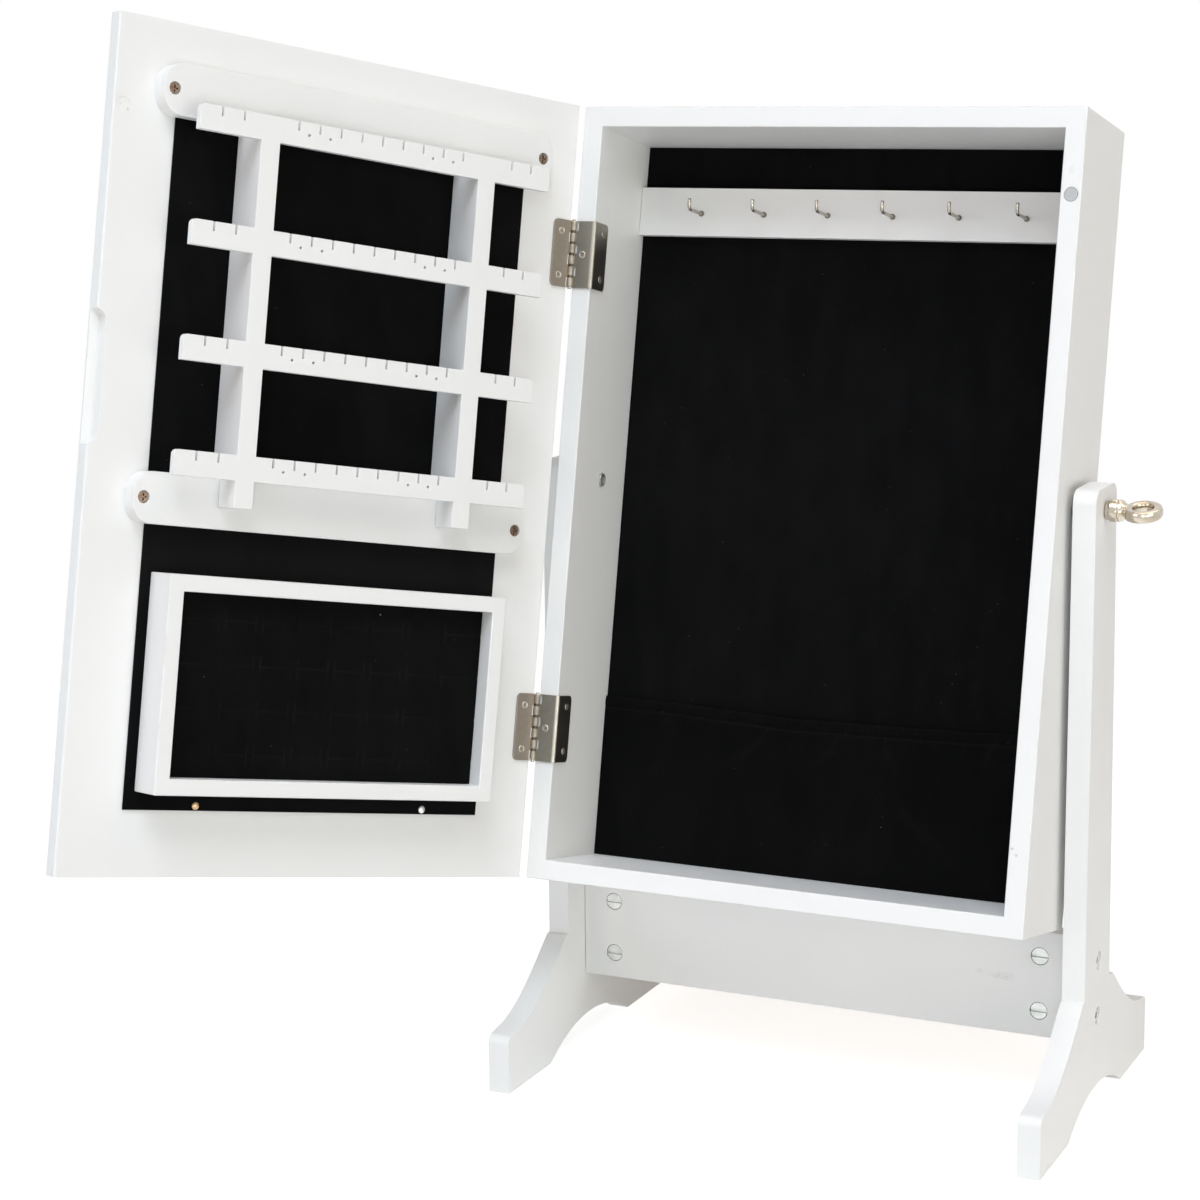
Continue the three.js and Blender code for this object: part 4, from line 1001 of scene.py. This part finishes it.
def nearCrease(x, z):
    height = 0.0
    for (fromX, fromZ), (toX, toZ), width, rise in pocket["creases"]:
        alongX, alongZ = toX - fromX, toZ - fromZ
        share = ((x - fromX) * alongX + (z - fromZ) * alongZ) / (alongX ** 2 + alongZ ** 2)
        share = min(1.0, max(0.0, share))
        away = math.hypot(x - fromX - share * alongX, z - fromZ - share * alongZ)
        height = max(height, rise * fading(away, width) * (1 - 0.5 * share))
    return height


# an elastic header and a slack front, gathered towards the middle
def pocketDepth(x, down, share):
    ends = 1 - (x / pocket["halfWidth"]) ** 2
    easing = min(1.0, 3 * ends)
    drawnIn = pocket["gathersFrom"]
    drawn = 0.3 + 0.7 * fading(x - drawnIn, pocket["gathersReach"])
    turns = (x + 1.6 * wave(x, 0, 9, 1.3)) / pocket["gatherPitch"]
    gathers = math.sin(math.tau * turns) * (0.7 + 0.6 * wave(x, 0, 5, 4.1))
    header = pocket["atEnds"] + pocket["headerSlack"] * ends
    tall = pocket["headerHeight"]
    gathering = pocket["gatherDepth"] * drawn * easing
    if down <= tall:
        across = min(1.0, max(0.0, (down - 0.8) / (tall - 1.6)))
        casing = pocket["casing"] * math.sin(math.pi * across)
        seams = sum(fading(down - seam, 0.45) for seam in (1.0, tall - 0.7))
        return header + casing + gathering * gathers - pocket["seamDip"] * seams
    below = down - tall
    fan = drawnIn + (x - drawnIn) / (1 + below / 90)
    folds = wave(fan, below * 0.12, 7, 2.2) * math.exp(-below / 26)
    folds += 0.8 * wave(fan, below * 0.3, 19, 8.4) * math.exp(-below / 60)
    settling = share ** 1.4
    settled = header * (1 - settling) + pocket["atFoot"] * settling
    belly = pocket["belly"] * ends * math.sin(math.pi * share ** 0.85)
    gathers *= gathering * math.exp(-below / 3.5)
    return settled + belly + gathers + pocket["foldDepth"] * drawn * folds * easing


# painted sheen and light: the velvet is made lighter at creases, seams and ribs, where the nap
# catches the light, and towards the foot
def pocketPaintedSheen(x, down, share, crease):
    half = pocket["headerHeight"] / 2
    seams = fading(down - 0.6, 0.6) + fading(down - 2 * half, 0.7)
    ribs = max(0.0, 1 - abs(down - half) / half) * 0.5
    ribs *= math.sin(math.tau * x / 1.9 + 3 * wave(x, 0, 6, 9.2))
    foot = max(0.0, share - 0.5) ** 0.8
    return max(0.0, 0.3 * crease + 0.16 * (seams + ribs) + 0.12 * foot)


def makePocket():
    low, high = localBox("velvet_pocket", "cabinet")
    back = localBox("back_velvet", "cabinet")[0].y
    keys = ("headerHeight", "headerRows", "frontRows", "cloth")
    tall, headerRows, frontRows, cloth = (pocket[key] for key in keys)
    columns = round((high.x - low.x) / pocket["columnSpacing"])
    bm = bmesh.new()
    turned = bm.verts.layers.float.new("sheenDustAndWear")
    grid = []
    for column in range(columns + 1):
        x = low.x + (high.x - low.x) * column / columns
        top = alongLine(pocket["topLine"], x)
        line = []
        for row in range(headerRows + frontRows + 1):
            past = max(0, row - headerRows) / frontRows
            share = past * (0.45 + 0.55 * past)
            down = tall * min(1.0, row / headerRows) + share * (top - tall - low.z)
            crease = nearCrease(x, top - down) if row > headerRows else 0.0
            depth = max(cloth + pocket["lift"], pocketDepth(x, down, share) + crease)
            vertex = bm.verts.new((x, back - depth, top - down))
            vertex[turned] = pocketPaintedSheen(x, down, share, crease)
            line.append(vertex)
        grid.append(line)
    for left, right in zip(grid, grid[1:]):
        for row in range(headerRows + frontRows):
            bm.faces.new((left[row], left[row + 1], right[row + 1], right[row]))
    bmesh.ops.recalc_face_normals(bm, faces=bm.faces)
    if bm.faces[:][0].normal.y > 0:
        bmesh.ops.reverse_faces(bm, faces=bm.faces)
    bmesh.ops.solidify(bm, geom=bm.faces, thickness=cloth)
    name, replaced = "velvet_pocket_cloth", ["velvet_pocket"]
    piece = setDown(bm, name, "cabinet", pocketVelvet, replaced, 60, False)


makePocket()

ringPad = {
    "rows": (148.5, 123.2, 98.0, 72.0),
    "columns": (234.9, 210.3, 185.0, 160.0, 135.0, 109.5, 84.0),
    "tickSpacing": 4.7, "tickLength": 10.4,
    "cut": 0.5, "dip": 0.35, "lip": 1.1,
    "waves": 0.25, "waveSize": 22, "edgeDrop": 1.2, "edgeReach": 1.5,
}


# foam under velvet, slit in rows: each slit ends in a short cross cut
def makeRingPad():
    low, high = localBox("ring_pad", "door")
    half, lip, reach = ringPad["cut"] / 2, ringPad["lip"], ringPad["tickLength"] / 2
    spacing = ringPad["tickSpacing"]
    ticks = sorted(
        column + side * spacing / 2 for column in ringPad["columns"] for side in (-1, 1)
    )
    bm = block(low, high)
    cuts = [(tick + shift, (1, 0, 0)) for tick in ticks for shift in (-lip, -half, half, lip)]
    heights = (-reach - lip, -reach, -lip, -half, half, lip, reach, reach + lip)
    cuts += [(row + shift, (0, 0, 1)) for row in ringPad["rows"] for shift in heights]
    for value, normal in cuts:
        point = Vector(normal) * value
        bmesh.ops.bisect_plane(bm, geom=everything(bm), plane_co=point, plane_no=normal)

    def inSlit(x, z):
        for row in ringPad["rows"]:
            if abs(z - row) < reach and any(abs(x - tick) < half for tick in ticks):
                return True
            between = [pair for pair in zip(ticks, ticks[1:]) if pair[0] < x < pair[1]]
            wide = between and between[0][1] - between[0][0] > spacing + 1
            if abs(z - row) < half and (wide or x < ticks[0] or x > ticks[-1]):
                return True
        return False

    turned = bm.verts.layers.float.new("sheenDustAndWear")
    slit = set()
    for face in bm.faces:
        middle = face.calc_center_median()
        if face.normal.y > 0.9 and inSlit(middle.x, middle.z):
            slit.update(face.verts)
    for vertex in slit:
        vertex.co.y -= ringPad["dip"]
        # dust along the slits' edges makes the velvet lighter there
        vertex[turned] = max(0.02, 0.13 + 0.4 * wave(vertex.co.x, vertex.co.z, 11, 2.8))
    for vertex in bm.verts:
        point = vertex.co
        if point.y > high.y - 1:
            dip = ringPad["waves"] * abs(wave(point.x, point.z, ringPad["waveSize"], 5.5))
            rim = rimDistance(point, low, high)
            dip += ringPad["edgeDrop"] * math.exp(-rim / ringPad["edgeReach"])
            vertex.co.y -= dip
    bmesh.ops.recalc_face_normals(bm, faces=bm.faces)
    piece = setDown(bm, "ring_pad_velvet", "door", velvet, ["ring_pad"], 60, False)


makeRingPad()
print("velvet laid")


# ---- stage, light and camera ----

# 1 where the camera looks, also by way of metal or glass
def lookedAt(tree):
    rays = node(tree, "LightPath").outputs
    seen = maths(tree, "MAXIMUM", rays["Is Camera Ray"], rays["Is Glossy Ray"])
    return maths(tree, "MAXIMUM", seen, rays["Is Transmission Ray"])


floorLook = {
    "radius": 9.0, "colour": (0.8, 0.8, 0.79, 1), "glow": 0.72,
    "fadeFrom": 0.5, "fadeTo": 1.3,       # metres from the middle
    "below": 0.0002,
}


def stageMaterial():
    material, tree, shader = newMaterial("pale_floor")
    seen = lookedAt(tree)
    setInputs(shader, {
        "Base Color": floorLook["colour"], "Roughness": 0.9, "Specular IOR Level": 0.1,
    })
    glow = node(tree, "Emission")
    link(tree, maths(tree, "MULTIPLY", seen, floorLook["glow"]), glow.inputs["Strength"])
    both = node(tree, "AddShader")
    link(tree, shader.outputs[0], both.inputs[0])
    link(tree, glow.outputs[0], both.inputs[1])
    white = node(tree, "Emission")
    distance = vectorMaths(tree, "LENGTH", ownPlace(tree))
    far = spread(tree, distance, floorLook["fadeFrom"], floorLook["fadeTo"])
    faded = node(tree, "MixShader")
    link(tree, maths(tree, "MULTIPLY", far, seen), faded.inputs[0])
    link(tree, both.outputs[0], faded.inputs[1])
    link(tree, white.outputs[0], faded.inputs[2])
    link(tree, faded.outputs[0], tree.nodes["Material Output"].inputs["Surface"])
    return material


def makeFloor():
    bm = bmesh.new()
    bmesh.ops.create_circle(bm, cap_ends=True, segments=96, radius=floorLook["radius"])
    mesh = meshFrom(bm, "floor")
    mesh.materials.append(stageMaterial())
    floor = addObject("floor", mesh)
    floor.location.z = -floorLook["below"]


towards = (0.05, 0.1, 0.35)
studio = {
    "ambient": (0.004, 0.004, 0.004, 1),
    # name: (position, aimed at, size, power in watts, colour)
    "lamps": {
        "overheadSoftbox": ((0.4, -4.0, 8.0), towards, 5.0, 432.0, (0.82, 0.89, 1.0)),
        "frontRightSoftbox": ((2.2, -3.0, 4.2), towards, 3.0, 62.0, (0.95, 0.98, 1.0)),
        "frontLeftPanel": ((-2.2, -4.0, 1.2), towards, 2.2, 34.0, (1.0, 0.87, 0.84)),
        "leftLowPanel": ((-4.4, -1.8, 0.8), towards, 2.2, 42.0, (0.76, 0.94, 1.0)),
        "rightLowPanel": ((4.4, -1.6, 0.7), towards, 2.2, 43.0, (1.0, 0.96, 0.83)),
        "rightTopPanel": ((3.0, 0.3, 4.5), towards, 2.4, 33.0, (1.0, 0.80, 0.66)),
        "backTopPanel": ((0.3, 2.6, 4.6), towards, 3.0, 31.0, (1.0, 0.80, 0.66)),
        "floorBounce": ((1.2, -2.2, 0.14), towards, 0.9, 10.8, (0.89, 0.97, 1.0)),
        "rightBounce": ((1.6, -1.1, 0.3), (0.1, 0.1, 0.25), 0.5, 3.1, (0.95, 0.93, 0.92)),
    },
}


def makeLights():
    for name, (position, target, size, power, colour) in studio["lamps"].items():
        lamp = bpy.data.lights.new(name, "AREA")
        lamp.shape = "SQUARE"
        lamp.size = size
        lamp.energy = power
        lamp.color = colour
        holder = addObject(name, lamp)
        holder.location = position
        aim = Vector(target) - Vector(position)
        holder.rotation_euler = aim.to_track_quat("-Z", "Y").to_euler()
    world = bpy.data.worlds.new("studio")
    bpy.context.scene.world = world
    world.use_nodes = True
    tree = world.node_tree
    sky = blendColours(tree, lookedAt(tree), studio["ambient"], (1.0, 1.0, 1.0, 1))
    link(tree, sky, tree.nodes["Background"].inputs["Color"])


lens = {
    "fromPivot": (0.6026, -1.5973, 0.2665),
    "turn": 25.214, "pitch": 78.96, "roll": -0.585, "focal": 84.35, "filmWidth": 36,
}


def makeCamera():
    camera = bpy.data.cameras.new("camera")
    camera.lens = lens["focal"]
    camera.sensor_width = lens["filmWidth"]
    holder = addObject("camera", camera)
    aim = Matrix.Translation(pivot + Vector(lens["fromPivot"]))
    for angle, axis in (("turn", "Z"), ("pitch", "X"), ("roll", "Z")):
        aim = aim @ Matrix.Rotation(math.radians(lens[angle]), 4, axis)
    holder.matrix_world = aim
    bpy.context.scene.camera = holder


makeFloor()
makeLights()
makeCamera()
bpy.context.scene.view_settings.view_transform = "Standard"
print("stage set")
